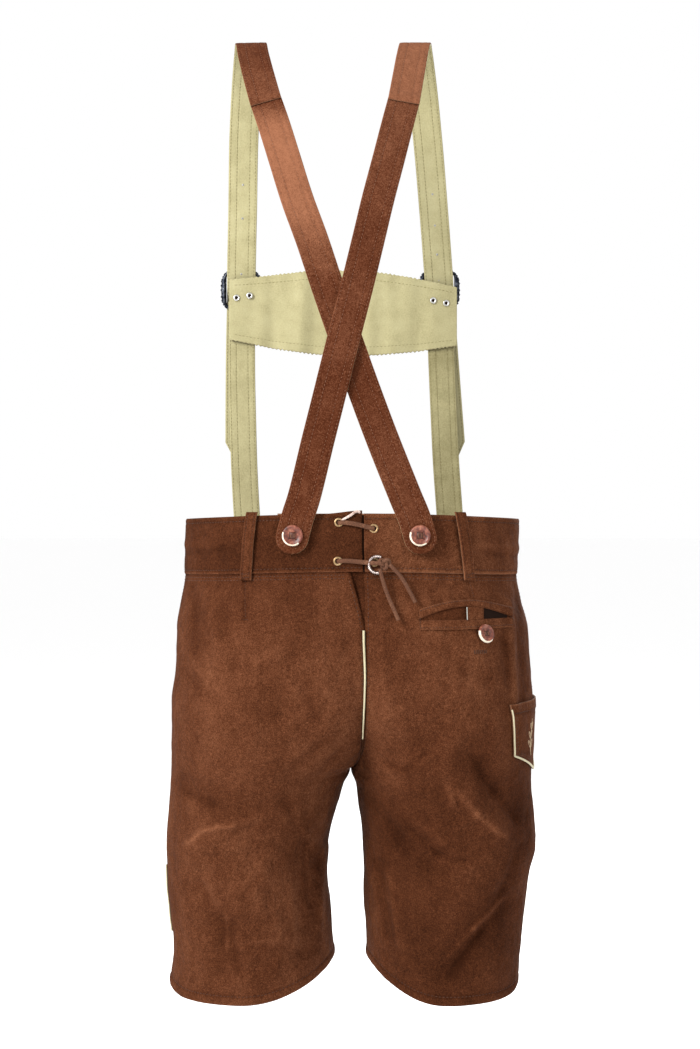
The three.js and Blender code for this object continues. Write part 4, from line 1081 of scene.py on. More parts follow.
def make_gusset(look):
    """The gusset behind the V, hollow between its middle and left edge, and the shadow in the split."""
    columns, rows = 30, 22

    def face(s, t):
        hollow = smooth(0.34, 0.72, s) * smooth(1.1, 0.72, s) * smooth(0.04, 0.4, t)
        return -LEATHER - SEAM - (0.4 + 7.0 * hollow)

    outer, inner = patch_grids("back", np.linspace(-22, 14, columns), level(WAIST_JOIN + 3),
                               level(VENT_FOOT - 12), rows, lambda s, t: face(s, t) - 1.4, face)
    # Painted shade: the gusset darker overall and darker still from its middle towards the left edge, over
    # the hollow.
    wear_and_painted_light = -0.10 - 0.30 * smooth(0.2, 0.75, np.linspace(0, 1, columns))[None, :] + np.zeros((rows, 1))
    piece = cloth("back_gusset", outer, inner, [look["suede"]] * 3, "shorts_suede", wear_and_painted_light)
    outer, inner = patch_grids("back", np.linspace(-13, -8, 6), level(WAIST_TOP - 1.5), level(WAIST_JOIN), 12,
                               level(-1.2), level(-0.6))
    cloth(None, outer, inner, [look["dark"]] * 3, "shorts_suede", name="split_shadow")


def make_back_piping(look):
    z = np.linspace(VENT_FOOT - 4, -726, 44)
    line = on_body("back", seam_x("back", z) + 1.0, z, LIE + 0.55)
    radius = np.linspace(1.45, 0.9, len(z))
    piping("centre_back_piping", line, radius, 0.85, (1, 0, 0), look)


TAPE = 0.8


def make_side_tape(side, look):
    """The tape that closes the side seam on the inside."""
    z = np.linspace(WAIST_TOP - 8, HEM_LOW + HEM_SIDE_RISE + 3, 180)[:, None]
    along = np.linspace(-5, 5, 9)[None, :]
    low = -LEATHER - SEAM
    cloth(None, on_side(side, along, z, low), on_side(side, along, z, low - TAPE), [look["suede_inside"]] * 3,
          "shorts_suede", name=f"side_seam_tape_{side}")


SIDE_VENT_TOP, SIDE_VENT_FOOT = -868, -938
SIDE_VENT_BESIDE = {"left": 7.0, "right": -8.0}  # from the side seam, positive towards the back


def make_side_vent(side, look):
    """The piping of a short side vent and the shadow under it."""
    z = np.linspace(SIDE_VENT_TOP, SIDE_VENT_FOOT, 36)
    beside = SIDE_VENT_BESIDE[side]
    along = beside + 0.6 * np.sin(np.linspace(0, 5, len(z)))
    piping(f"side_vent_piping_{side}", on_side(side, along, z, LIE + 0.7), 0.95, 0.9, (1, 0, 0), look)
    t = np.linspace(0, 1, 9)[None, :]
    spread = np.clip(np.sin(np.linspace(0.05, math.pi - 0.05, len(z))) * 2, 0, 1)[:, None]
    place = beside + mix(-4.5, 5.0, t) * mix(0.4, 1, spread)
    levels = np.broadcast_to(z[:, None], place.shape)
    # A dark sheet as painted shadow in the vent's gap.
    cloth(None, on_side(side, place, levels, 0.35), on_side(side, place, levels, -0.3), [look["dark"]] * 3,
          "shorts_suede", name=f"side_vent_gap_shadow_{side}")


# ---- Back pocket ---------------------------------------------------------------------------------
POCKET_LEFT, POCKET_RIGHT = -65.5, -160.5
WELT_COLUMNS, WELT_ROWS = 80, 13
UPPER_WELT_TOP, UPPER_WELT_FOOT = -594.5, -604.4
LOWER_WELT_TOP, LOWER_WELT_FOOT = -604.6, -614.2
ARCH_TOP, ARCH_FOOT = 9.5, 12.4  # rise of the upper welt's two edges in the middle
TAB_LEFT, TAB_RIGHT, TAB_TOP, TAB_FOOT = -113.5, -131.0, -592.0, -605.4
MOUTH_SHADE = -0.22


def pocket_arch(x):
    """From 0 at both ends of the pocket to 1 in its middle."""
    t = np.clip((x - POCKET_LEFT) / (POCKET_RIGHT - POCKET_LEFT), 0, 1)
    return np.sin(math.pi * t) ** 0.9


def arched(foot, rise):
    return lambda x: foot + rise * pocket_arch(x)


def make_pocket(look):
    """The mouth that gapes between two welts, its shadow, the welts, and the tab with its selvage."""
    outer, inner = patch_grids("back", np.linspace(-67.5, -158.5, 48), arched(-601.5, 11), level(-606.0), 8,
                               level(0.15), level(0.45))
    shade = np.full(outer.shape[:2], MOUTH_SHADE)
    cloth(None, outer, inner, [look["suede"]] * 3, "shorts_suede", shade, "pocket_mouth")
    outer, inner = patch_grids("back", np.linspace(-130.5, -156, 16), arched(-599.5, 8), level(-605.6), 8,
                               level(0.3), level(0.75))
    cloth(None, outer, inner, [look["dark"]] * 3, "shorts_suede", name="pocket_mouth_shadow")
    lift = lambda s, t: WELT_LIE + 0.3 + 1.9 * pillow(t, 3) * pillow(s, 40)
    under = level(0.2)
    outer, inner = patch_grids("back", np.linspace(POCKET_LEFT, POCKET_RIGHT, WELT_COLUMNS),
                               arched(UPPER_WELT_TOP, ARCH_TOP), arched(UPPER_WELT_FOOT, ARCH_FOOT),
                               WELT_ROWS, under, lift)
    t = np.linspace(0, 1, WELT_ROWS)[:, None]
    # A painted highlight along each welt's outer edge.
    rim = 0.30 * np.exp(-(t / 0.10) ** 2) + np.zeros((1, WELT_COLUMNS))
    piece = cloth("pocket_welt_upper", outer, inner, cut_suede(look), "shorts_suede", rim)
    outer, inner = patch_grids("back", np.linspace(POCKET_LEFT - 1.4, POCKET_RIGHT - 0.8, WELT_COLUMNS),
                               level(LOWER_WELT_TOP), level(LOWER_WELT_FOOT), WELT_ROWS, under, lift)
    piece = cloth("pocket_welt_lower", outer, inner, cut_suede(look), "shorts_suede", rim[::-1])
    outer, inner = patch_grids("back", np.linspace(TAB_LEFT, TAB_RIGHT, 14), level(TAB_TOP), level(TAB_FOOT),
                               10, level(0.5), lambda s, t: 2.0 - 0.5 * s + 0.2 * t)
    piece = cloth("pocket_tab", outer, inner, cut_suede(look), "shorts_suede")
    z = np.linspace(TAB_TOP - 0.6, TAB_FOOT + 0.4, 8)
    edge = tube_data(on_body("back", TAB_LEFT + 0.3 + 0 * z, z, 2.0), 0.9, 6, 0.6, (1, 0, 0))
    fitting(None, [(edge, 0)], [look["grey"]], "shorts_suede", name="pocket_tab_edge")


# ---- Buttons -------------------------------------------------------------------------------------
BRACE_BUTTON, POCKET_BUTTON = 10.5, 9.4  # radii
BUTTON_STAND, STRAP_BUTTON_STAND = 2.3, 3.2
BUTTON_STEPS = 36
BUTTON_FACE, PLATE, HOLE_PLACE = 2.25, 0.36, 0.17  # height of the face; the others are shares of the radius
SQUARE = ((-1, -1), (1, -1), (1, 1), (-1, 1))
BUTTON_LOOKS = ("horn", "horn_rim", "dark", "strap_thread", "horn_deep")


def button_parts(centre, outward, radius):
    """Data and material indices of a horn button's body, sunk square, four holes and two threads."""
    r = radius
    profile = [(0.02, 0), (0.84 * r, 0), (r, 0.9), (r, 2.1), (0.94 * r, 3.0), (0.85 * r, 3.3),
               (0.76 * r, 2.9), (0.70 * r, 2.3), (0.45 * r, 2.15), (0.02, 2.1)]
    body = turned_data(profile, centre, outward, BUTTON_STEPS)
    pale = [int(2 <= k <= 4 and 16 <= j <= 30) for k in range(len(profile) - 1) for j in range(BUTTON_STEPS)]
    a, b, n = frame_of(outward)
    middle = np.asarray(centre) + n * BUTTON_FACE
    parts = [(body, pale + [0, 0])]

    def add(data, index):
        parts.append((data, [index] * len(data[1])))

    corners = [PLATE * r * (x * a + y * b) for x, y in SQUARE]
    add(loft_data([[middle + corner * k + n * lift for corner in corners]
                   for k, lift in ((0.05, 0.12), (1, 0.1), (1, -0.2))]), 4)
    for start, end in zip(corners, corners[1:] + corners[:1]):
        line = middle + mix(start, end, np.linspace(0, 1, 5)[:, None])
        add(tube_data(line, 0.5, 6, 1.0, n), 0)
    for x, y in SQUARE:
        add(turned_data([(0.02, 0), (0.85, 0), (0.8, 0.12), (0.02, 0.12)],
                        middle + HOLE_PLACE * r * (x * a + y * b) - 0.05 * n, n, 10), 2)
    t = np.linspace(-1, 1, 7)[:, None]
    for x in (-1, 1):
        thread = middle + HOLE_PLACE * r * (x * a + t * b) + n * (0.45 - 0.4 * t * t)
        add(tube_data(thread, 0.42, 6, 1.0, n), 3)
    return parts


def make_button(node, centre, outward, radius, look):
    parts = button_parts(centre, outward, radius)
    vertices, faces = join_data([data for data, _ in parts])
    indices = [i for _, part in parts for i in part]
    materials = [look[name] for name in BUTTON_LOOKS]
    make_piece(node + "_detail", vertices, faces, materials, "horn_button", (node,), indices)


def surface_frame(half, x, z, step=4.0):
    """The place on the front or back at x and z, and its normal."""
    place = lambda a, b: on_body(half, a, b)
    at = np.array([float(x)]), np.array([float(z)])
    return place(*at)[0], normal_of(place, *at, step=step)[0]


def surface_button(node, half, x, z, lift, radius, look):
    at, normal = surface_frame(half, x, z, step=6.0)
    make_button(node, at + normal * lift, normal, radius, look)


# ---- Side pocket ---------------------------------------------------------------------------------
KNIFE_BACK, KNIFE_FRONT, KNIFE_MIDDLE = 94.0, -50.0, 19.0
KNIFE_TOP, KNIFE_SHOULDER, KNIFE_POINT = -691.0, -744.0, -766.0
KNIFE_LIE, KNIFE_PROUD = 0.9, 1.6
KNIFE_HEM = 0.17  # share of the height


def knife_foot(along):
    """Height of the pointed foot, at this distance from the side seam."""
    reach = np.where(along > KNIFE_MIDDLE, KNIFE_BACK, KNIFE_FRONT)
    return mix(KNIFE_POINT, KNIFE_SHOULDER, np.clip((along - KNIFE_MIDDLE) / (reach - KNIFE_MIDDLE), 0, 1))


def knife_place(along, z, lift=0.0):
    taper = mix(1, 0.87, np.clip((KNIFE_TOP - z) / 60, 0, 1))
    return on_side("right", along * taper, z, lift)


def knife_outline(inset, top):
    """Points (along, z) round the sides and foot of the pocket, this far inside its edge."""
    back, front = KNIFE_BACK - inset, KNIFE_FRONT + inset
    corners = [(back, top), (back, KNIFE_SHOULDER + inset * 0.4), (KNIFE_MIDDLE, KNIFE_POINT + inset),
               (front, KNIFE_SHOULDER + inset * 0.4), (front, top)]
    points = []
    for (a1, z1), (a2, z2) in zip(corners, corners[1:]):
        points += [(mix(a1, a2, t), mix(z1, z2, t)) for t in np.linspace(0, 1, 22)[:-1]]
    return np.array(points + [corners[-1]])


def make_knife_pocket(look, rows):
    along = np.linspace(KNIFE_BACK, KNIFE_FRONT, 72)[None, :]
    t = np.linspace(0, 1, 34)[:, None]
    z = mix(KNIFE_TOP, knife_foot(along), t)
    along = np.broadcast_to(along, z.shape)
    hem = 0.5 * smooth(0.16, 0.12, t) - 0.5 * np.exp(-((t - KNIFE_HEM) / 0.02) ** 2)
    # A painted highlight along the top edge and painted shade along the hem's fold.
    wear_and_painted_light = 0.30 * np.exp(-(t / 0.02) ** 2) - 0.12 * np.exp(-((t - KNIFE_HEM) / 0.025) ** 2)
    piece = cloth("knife_pocket", knife_place(along, z, KNIFE_LIE + KNIFE_PROUD + hem),
                  knife_place(along, z, KNIFE_LIE), cut_suede(look), "shorts_suede",
                  np.broadcast_to(wear_and_painted_light, z.shape))
    edge = knife_outline(0.8, KNIFE_TOP - 5)
    line = knife_place(edge[:, 0], edge[:, 1], KNIFE_LIE + KNIFE_PROUD)
    piping("knife_pocket_piping", line, 1.15, 0.8, (1, 0, 0), look)
    for inset in (5.5, 8.5):
        edge = knife_outline(inset, KNIFE_TOP - 12)
        rows.append(surface_stitches(knife_place, edge[:, 0], edge[:, 1], KNIFE_LIE + 1.5, pitch=3.2))
    a = np.linspace(KNIFE_BACK - 4, KNIFE_FRONT + 4, 90)
    rows.append(surface_stitches(knife_place, a, KNIFE_TOP - 9.4 + 0 * a, KNIFE_LIE + 1.9, pitch=3.2))


SPRIG_MIDDLES, SPRIG_FOOT, SPRIG_TALL, SPRIG_SWAY = (47, -8), -748, 38, 2.5


def make_sprig(look):
    """Two embroidered stems with paired leaves, on the side pocket."""
    curves = []
    for middle in SPRIG_MIDDLES:
        rise = np.linspace(0, 1, 20)
        curves.append((middle + SPRIG_SWAY * np.sin(rise * 5), SPRIG_FOOT + SPRIG_TALL * rise))
        for height, size in ((0.25, 9), (0.5, 8), (0.75, 6.5)):
            for way in (1, -1):
                turn = np.linspace(0, 2 * math.pi, 26)
                out = (1 - np.cos(turn)) / 2
                curves.append((middle + SPRIG_SWAY * math.sin(height * 5) + way * size * out,
                               SPRIG_FOOT + SPRIG_TALL * height + size * 0.7 * out + 2.2 * np.sin(turn)))
    parts = [(tube_data(knife_place(a, z, KNIFE_LIE + 1.7), 0.42, 6, 0.8, (1, 0, 0)), 0) for a, z in curves]
    fitting(None, parts, [look["embroidery"]], "cream_piping", name="knife_pocket_embroidery")


# ---- Front flap ----------------------------------------------------------------------------------
FLAP_HALF, FLAP_FOOT, FLAP_CENTRE = 82.0, 70.0, 2.0
FLAP_TOP, FLAP_SHOULDER, FLAP_POINT = -497.5, -640.0, -664.0
FLAP_LIFT = BAND_PROUD + LIE
FLAP_THICK = 2.0


def flap_place(across, z, lift=0.0):
    """Places on the flap, across from -1 to 1 between its edges."""
    wide = mix(FLAP_HALF, FLAP_FOOT, np.clip((FLAP_TOP - z) / (FLAP_TOP - FLAP_SHOULDER), 0, 1))
    return on_body("front", FLAP_CENTRE + across * wide, z, lift)


def flap_foot(across):
    return mix(FLAP_POINT, FLAP_SHOULDER, across * across)


def flap_outline(inset, top):
    share = 1 - inset / 76
    side = np.linspace(top, FLAP_SHOULDER + inset * 0.7, 40)
    foot = np.linspace(-share, share, 60)[1:-1]
    across = np.concatenate([np.full(40, -share), foot, np.full(40, share)])
    return across, np.concatenate([side, flap_foot(foot) + inset, side[::-1]])


def make_flap(look, rows):
    across = np.linspace(-1, 1, 64)[None, :]
    t = np.linspace(0, 1, 60)[:, None]
    z = mix(FLAP_TOP, flap_foot(across), t)
    across = np.broadcast_to(across, z.shape)
    high = FLAP_LIFT + FLAP_THICK - 0.8 * (1 - pillow(t, 40))
    piece = cloth("front_flap", flap_place(across, z, high + 0 * z), flap_place(across, z, FLAP_LIFT),
                  [look["suede"], look["suede_inside"], look["suede_edge"]], "shorts_suede",
                  np.zeros(z.shape))
    line = flap_place(*flap_outline(0.6, FLAP_TOP - 2), FLAP_LIFT + 2.1)
    piping("front_flap_piping", line, 1.5, 0.8, (0, 1, 0), look)
    for inset in (5.0, 8.5):
        rows.append(surface_stitches(flap_place, *flap_outline(inset, FLAP_TOP - 6), FLAP_LIFT + FLAP_THICK))
    across = np.linspace(-0.93, 0.93, 80)
    rows.append(surface_stitches(flap_place, across, FLAP_TOP - 7, FLAP_LIFT + FLAP_THICK))
    for side, sign in (("left", 1), ("right", -1)):
        surface_button(f"flap_button_{side}", "front", FLAP_CENTRE + sign * (FLAP_HALF - 18), -516,
                       FLAP_LIFT + BUTTON_STAND, BRACE_BUTTON, look)


# ---- Belt loops ----------------------------------------------------------------------------------
LOOPS = {  # node: (half, top, x at the top, x at the foot)
    "belt_loop_back_left": ("back", -497.5, 99.7, 106),
    "belt_loop_back_right": ("back", -497.5, -106.8, -116.4),
    "belt_loop_front_left": ("front", -503.5, 146, 148),
    "belt_loop_front_right": ("front", -503.5, -144, -146),
}
LOOP_WIDTH, LOOP_FOOT, LOOP_STAND = 12.4, -566.0, 3.2
LOOP_SEAM = 0.62  # share of the half width


def loop_stand(t):
    """Lift of a loop's inside above the panel, t from 0 at its top to 1 at its foot."""
    return BAND_PROUD + LIE + LOOP_STAND * np.sin(math.pi * np.clip(t, 0, 1)) ** 0.5 * mix(1, 0.2, t * t)


def make_belt_loop(node, half, loop_top, x_top, x_foot, look, rows):
    """A loop that stands off the waistband; its width is narrowed where the body turns away."""
    t = np.linspace(0, 1, 40)[:, None]
    c = np.linspace(-1, 1, 15)[None, :]
    z = mix(loop_top, LOOP_FOOT, t) + 0 * c
    slope = abs(surface_frame(half, (x_top + x_foot) / 2, (loop_top + LOOP_FOOT) / 2)[1][1])
    wide = LOOP_WIDTH * slope
    x = mix(x_top, x_foot, t) + c * wide / 2
    stand = loop_stand(t)
    seam = np.abs(c) - LOOP_SEAM
    top = 1.9 - 0.7 * (1 - pillow((c + 1) / 2, 10)) - 0.5 * np.exp(-(seam / 0.1) ** 2)
    # Painted light: a little lighter overall, painted shade in the grooves of the stitched seams and painted
    # highlights along both edges.
    wear_and_painted_light = 0.05 - 0.16 * np.exp(-(seam / 0.12) ** 2) + 0.30 * np.exp(-((1 - np.abs(c)) / 0.10) ** 2) + 0 * z
    piece = cloth(node, on_body(half, x, z, stand + top), on_body(half, x, z, stand + 0 * c), cut_suede(look),
                  "shorts_suede", wear_and_painted_light)
    place = lambda a, b: on_body(half, a, b)
    s = np.linspace(0.04, 0.96, 30)
    for way in (-1, 1):
        edge, height = mix(x_top, x_foot, s) + way * wide * LOOP_SEAM / 2, mix(loop_top, LOOP_FOOT, s)
        rows.append(surface_stitches(place, edge, height, (loop_stand(s) + 1.4)[:, None], pitch=3.0))
    for height, x in ((loop_top - 5, x_top), (LOOP_FOOT + 6, x_foot), (LOOP_FOOT + 2.5, x_foot)):
        line = np.linspace(x - wide * 0.4, x + wide * 0.4, 12)
        rows.append(surface_stitches(place, line, height, BAND_PROUD + LIE + 2.6, pitch=1.6, width=0.8))


# ---- Lacing --------------------------------------------------------------------------------------
EYELETS = {
    "lace_eyelet_upper_left": (13.7, -508),
    "lace_eyelet_upper_right": (-21.2, -514),
    "lace_eyelet_lower_left": (14.6, -546.5),
    "lace_eyelet_lower_right": (-22, -547.5),
}


def eyelet_parts(centre, outward, radius, bore):
    """A rolled ring and the dark hole inside it."""
    angle = np.linspace(0, 2 * math.pi, 9)[:-1]
    middle, half = (radius + bore) / 2, (radius - bore) / 2
    profile = [(middle + half * math.cos(a), 0.45 + 0.65 * math.sin(a)) for a in angle]
    ring = turned_data(profile, centre, outward, 30, hollow=True)
    hole = turned_data([(0.02, 0), (bore + 0.3, 0), (bore + 0.3, 0.15), (0.02, 0.15)], centre, outward, 20)
    return [(ring, 0), (hole, 1)]


def thong_data(points, width=4.6, thick=1.9):
    """A flat thong through (x, z, lift) points on the back."""
    p = curve_points(points, 1.6)
    line = on_body("back", p[:, 0], p[:, 1], p[:, 2])
    return tube_data(line, width / 2, 10, thick / width, (0, 1, 0))


LACE_END_WIDTH = 3.9


def make_lace_ends(look):
    """The two free ends of the lace, hanging from the knot."""
    width = LACE_END_WIDTH
    for node, route in LACE_ENDS.items():
        line = curve_points(route, 2.2)
        thong = tube_data(line, width / 2, 10, 0.55, (0, 1, 0))
        piece = make_piece(node + "_thong", *thong, [look["lace"]], "lace_leather", (node,))


def make_lacing(look):
    """Eyelets, the lace's two crossings and its pale twisted loop, the ring, and the knot in front of it."""
    for node, (x, z) in EYELETS.items():
        at, out = surface_frame("back", x, z)
        fitting(node, eyelet_parts(at + out * (BAND_PROUD + LIE - 0.2), out, 4.6, 2.5),
                [look["brass"], look["dark"]], "brass_eyelet")
    high = BAND_PROUD + LIE
    upper = thong_data([(14.4, -508.6, high - 0.4), (10, -508, high + 2.2), (-2, -509.4, high + 3.2),
                        (-14, -512.2, high + 3.0), (-21.8, -514.2, high - 0.2)])
    fitting("lace_upper", [(upper, 0)], [look["lace"]], "lace_leather")
    twist = thong_data([(10.5, -506.0, high + 0.8), (5.6, -503.0, high + 1.4), (1.2, -500.4, high + 1.4),
                        (-2.6, -497.6, high + 0.6), (-5.8, -496.9, high - 0.4), (-7.6, -498.6, high - 1.2)],
                       width=2.6, thick=1.7)
    fitting(None, [(twist, 0)], [look["twist"]], "lace_leather", name="lace_twist")
    lower = thong_data([(15.4, -546.9, high - 0.4), (10, -546.2, high + 2.0), (0, -546.4, high + 2.6),
                        (-12, -547.6, high + 3.0), (-22, -548.2, high + 3.6), (-28, -548.2, high + 4.6)])
    fitting("lace_lower", [(lower, 0)], [look["lace"]], "lace_leather")
    at, out = surface_frame("back", -24.4, -550.2)
    a, b, n = frame_of(out)
    centre = at + n * (high + 2.6)
    turn = np.radians(np.linspace(62, 298, 90))
    arc = centre + 8.2 * (np.cos(turn)[:, None] * a + np.sin(turn)[:, None] * b)
    ribs = 1.5 + 0.22 * np.sin(np.linspace(0, 2 * math.pi * 20, len(turn)))
    fitting("lace_ring", [(tube_data(arc, ribs, 10, 1.0, n), 0)], [look["ring"]], "nickel")
    middle = surface_frame("back", -31.6, -549.2)[0] + n * (high + 6.2)
    t = np.linspace(0, 2 * math.pi, 64, endpoint=False)[:, None]
    knot = middle + 1.75 * ((np.sin(t) + 2 * np.sin(2 * t)) * a + (np.cos(t) - 2 * np.cos(2 * t)) * b
                            - 0.9 * np.sin(3 * t) * n)
    along = unit(np.roll(knot, -1, 0) - np.roll(knot, 1, 0))
    level = unit(np.cross(along, n))
    up = np.cross(level, along)
    angle = np.linspace(0, 2 * math.pi, 8, endpoint=False)[None, :, None]
    rings = knot[:, None] + 1.9 * np.cos(angle) * level[:, None] + 1.2 * np.sin(angle) * up[:, None]
    fitting("lace_knot", [(loft_data(rings, endless=True), 0)], [look["lace"]], "lace_leather")


# ---- Braces --------------------------------------------------------------------------------------
STRAP_LINES = (-0.88, -0.43, 0.46, 0.86)
STRAP_NODES = {  # node stem: (route, width, rounded start, pointed end)
    "back_strap_left": ("back_left", STRAP_WIDTH, True, False),
    "back_strap_right": ("back_right", STRAP_WIDTH, True, False),
    "shoulder_strap_left": ("shoulder_left", STRAP_WIDTH, False, True),
    "shoulder_strap_right": ("shoulder_right", STRAP_WIDTH, False, True),
    "lower_strap_left": ("lower_left", LOWER_STRAP_WIDTH, False, False),
    "lower_strap_right": ("lower_right", LOWER_STRAP_WIDTH, False, False),
}


def strap_frames(route, step=2.5):
    """Places, outward and across directions, and distance from the start, along a strap."""
    at = curve_points(ROUTES[route], step)
    along = unit(np.gradient(at, axis=0))
    lean = 0.12 * at[:, 0] * smooth(-40, 60, at[:, 1])
    out = np.stack([lean, at[:, 1], np.maximum(0, at[:, 2] + 110) * 1.1], 1)
    out = unit(out - along * (out * along).sum(-1, keepdims=True))
    across = unit(np.cross(along, out))
    steps = np.linalg.norm(np.diff(at, axis=0), axis=1)
    return at, out, across, np.concatenate([[0], np.cumsum(steps)])


def strap_half_width(width, distance, rounded, pointed):
    half = np.full(len(distance), width / 2)
    if rounded:
        reach = width / 2
        half = reach * np.sqrt(np.clip(1 - (1 - np.minimum(1, distance / reach)) ** 2, 0.03, 1))
    if pointed:
        left = distance[-1] - distance
        half = half * mix(0.35, 1, np.minimum(1, left / 20))
    return half


def strap_painted_light(stem, z):
    """Painted light on the braces at height z: lighter as highlights where the light falls, most on the right
    shoulder strap and the upper back straps, and darker as painted shade on the lower right length.
    """
    if stem == "back_strap_left":
        return 0.40 * smooth(-270, -180, z) * smooth(-72, -112, z) + 0.06
    if stem == "back_strap_right":
        return 0.04 + 0.12 * smooth(-280, -100, z)
    if stem == "shoulder_strap_left":
        return 0.08 + 0.12 * smooth(-30, -75, z)
    if stem == "shoulder_strap_right":
        return 0.38 + 0 * z
    if stem == "lower_strap_right":
        return -0.1 + 0 * z
    return 0.05 + 0 * z


LINING_SHADE = {"lower_strap_left": -0.06, "lower_strap_right": -0.24}
JOIN_REACH, JOIN_LIFT = 4.6, 1.8  # the shoulder strap's end lies this far over the back strap


def make_strap(stem, look, outside, inside):
    """One length of the braces and its pale lining; stitches are added to the rows outside and inside."""
    route, width, rounded, pointed = STRAP_NODES[stem]
    at, out, across, distance = strap_frames(route)
    half = strap_half_width(width, distance, rounded, pointed)
    c = np.linspace(-1, 1, 25)
    grooves = sum(np.exp(-((c - line) / 0.05) ** 2) for line in STRAP_LINES)
    wave = np.array([noise.noise(Vector((d / 55, len(stem), 0))) for d in distance]) * 1.2
    wave = wave * smooth(0, 30, distance) * smooth(0, 30, distance[-1] - distance)
    base = at[:, None] + across[:, None] * (half[:, None] * c)[..., None]

    def layer(lift):
        return base + out[:, None] * (lift + wave[:, None])[..., None]

    low = LINING + SEAM
    lining_top, lining_wave = layer(LINING + 0 * (half[:, None] * c)), wave
    edge = 1 - pillow((c + 1) / 2, 24)
    lining_low = layer(0.22 * grooves + 0.2 * edge + 0 * half[:, None])
    if stem.startswith("shoulder"):
        base[0] += JOIN_REACH * unit(base[0] - base[1])
        wave = wave + JOIN_LIFT * (1 - smooth(2, 14, distance))
    leather_top = low + STRAP_LEATHER - 0.35 * edge - 0.30 * grooves + 0 * half[:, None]
    z = base[..., 2]
    side = stem.split("_")[-1]
    # Painted light along the length, painted shade in the stitch grooves and painted highlights along both
    # edges.
    wear_and_painted_light = strap_painted_light(stem, z) - 0.12 * grooves + 0.16 * np.exp(-((1 - np.abs(c)) / 0.05) ** 2)
    leather = cloth(stem, layer(leather_top), layer(low + 0 * leather_top),
                    [look["strap"], look["strap"], look["suede_edge"]], "brace_suede", wear_and_painted_light)
    shade = LINING_SHADE.get(stem, 0) - 0.07 * grooves + 0 * z
    lining = cloth(f"{stem.rsplit('_', 1)[0]}_lining_{side}", lining_top, lining_low, [look["cream"]] * 3,
                   "cream_leather", shade, worn_and_lit_inside=True)
    for line in STRAP_LINES:
        inset = (line * half)[:, None] * across
        keep = (distance > 3) & (distance < distance[-1] - 2.5)
        top = low + STRAP_LEATHER - 0.28 + wave
        under = 0.05 + lining_wave
        outside.append(stitches((at + inset + out * top[:, None])[keep], out[keep], width=0.6))
        inside.append(stitches((at + inset + out * under[:, None])[keep], -out[keep], width=0.6))


HOLE_LEVELS = {"left": (-126, -161.5, -194.5, -225, -300, -335, -370),
               "right": (-136.5, -169.5, -201.5, -232, -305, -340, -375)}


HOLE_RIM, HOLE_MIDDLE = (1.35, 1.25, 0.5), (0.55, 0.5, 0.62)  # radius below, radius above, height


def disc_data(size, centre, outward, steps):
    wide, narrow, tall = size
    return turned_data([(0.02, 0), (wide, 0), (narrow, tall), (0.02, tall)], centre, outward, steps)


def make_strap_holes(look):
    """The holes down the middle of each shoulder strap, as a rim and a dark middle on both sides."""
    for side in ("left", "right"):
        at, out, _, _ = strap_frames("shoulder_" + side)
        parts = []
        for z in HOLE_LEVELS[side]:
            k = int(np.argmin(np.abs(at[:, 2] - z) + (at[:, 1] > -60) * 999))  # only the front of the strap
            for lift, way in ((0.4, -1), (LINING + SEAM + STRAP_LEATHER - 0.3, 1)):
                centre = at[k] + out[k] * lift
                parts += [(disc_data(HOLE_RIM, centre, way * out[k], 14), 0),
                          (disc_data(HOLE_MIDDLE, centre, way * out[k], 10), 1)]
        fitting(None, parts, [look["grey"], look["hole"]], "cream_leather", name=f"strap_holes_{side}")


BAR_THICK = 2.6  # leather and lining together


def bar_point(t, down, out):
    """Places on the chest bar: t across, down from its top edge, and out from the body side."""
    rows = np.array(CHEST_BAR)
    stations = np.linspace(0, 1, len(rows))
    coefficients = [np.polyfit(stations, rows[:, i], 4) for i in range(4)]
    x, top, bottom, y = [np.polyval(c, t) for c in coefficients]
    z = mix(top, bottom, down)
    calm = smooth(0, 0.22, t) * smooth(1, 0.78, t)
    ripple = calm * (2.4 * np.sin(x / 14.0 + 0.7) + 1.2 * np.sin(x / 6.4 + 2 + z / 40)) * mix(0.6, 1, down)
    return np.stack([x, y - out - ripple + 0.5 * np.sin(x / 3.9) * calm, z], -1)


def pinked(t, down):
    """Height share moved by the zigzag of the pinked top and bottom edges."""
    tooth = (1 - 4 * np.abs((t * 56) % 1 - 0.5)) * (0.75 + 0.5 * np.sin(t * 37) * np.sin(t * 91))
    near_top, near_bottom = smooth(0.05, 0, down), smooth(0.95, 1, down)
    return down - 0.0085 * tooth * near_top + 0.0095 * tooth * near_bottom


def make_chest_bar(look, inside_rows, outside_rows):
    levels = np.concatenate([[0, 0.02], np.linspace(0.05, 0.95, 19), [0.98, 1]])
    t, down = np.meshgrid(np.linspace(0, 1, 225), levels, indexing="xy")
    down = pinked(t, down)
    leather = cloth("chest_bar", bar_point(t, down, BAR_THICK), bar_point(t, down, 1.3),
                    [look["strap"], look["strap"], look["suede_edge"]], "brace_suede", 0 * t)
    lining = cloth("chest_bar_lining", bar_point(t, down, 1.0), bar_point(t, down, 0.0), [look["cream"]] * 3,
                   "cream_leather")
    t = np.linspace(0.02, 0.98, 200)
    for down in (0.10, 0.90):
        edge = down + 0 * t
        face, back = bar_point(t, edge, 0.0), bar_point(t, edge, BAR_THICK)
        normals = np.tile([0.0, 1.0, 0.0], (len(t), 1))
        inside_rows.append(stitches(face, normals, width=0.6, pitch=4.2))
        outside_rows.append(stitches(back, -normals, width=0.6, pitch=4.2))


BAR_EYELETS = {
    "bar_eyelet_left_outer": (131.4, -252.5),
    "bar_eyelet_left_inner": (116.6, -250),
    "bar_eyelet_right_outer": (-106.8, -258.5),
    "bar_eyelet_right_inner": (-92, -255.5),
}


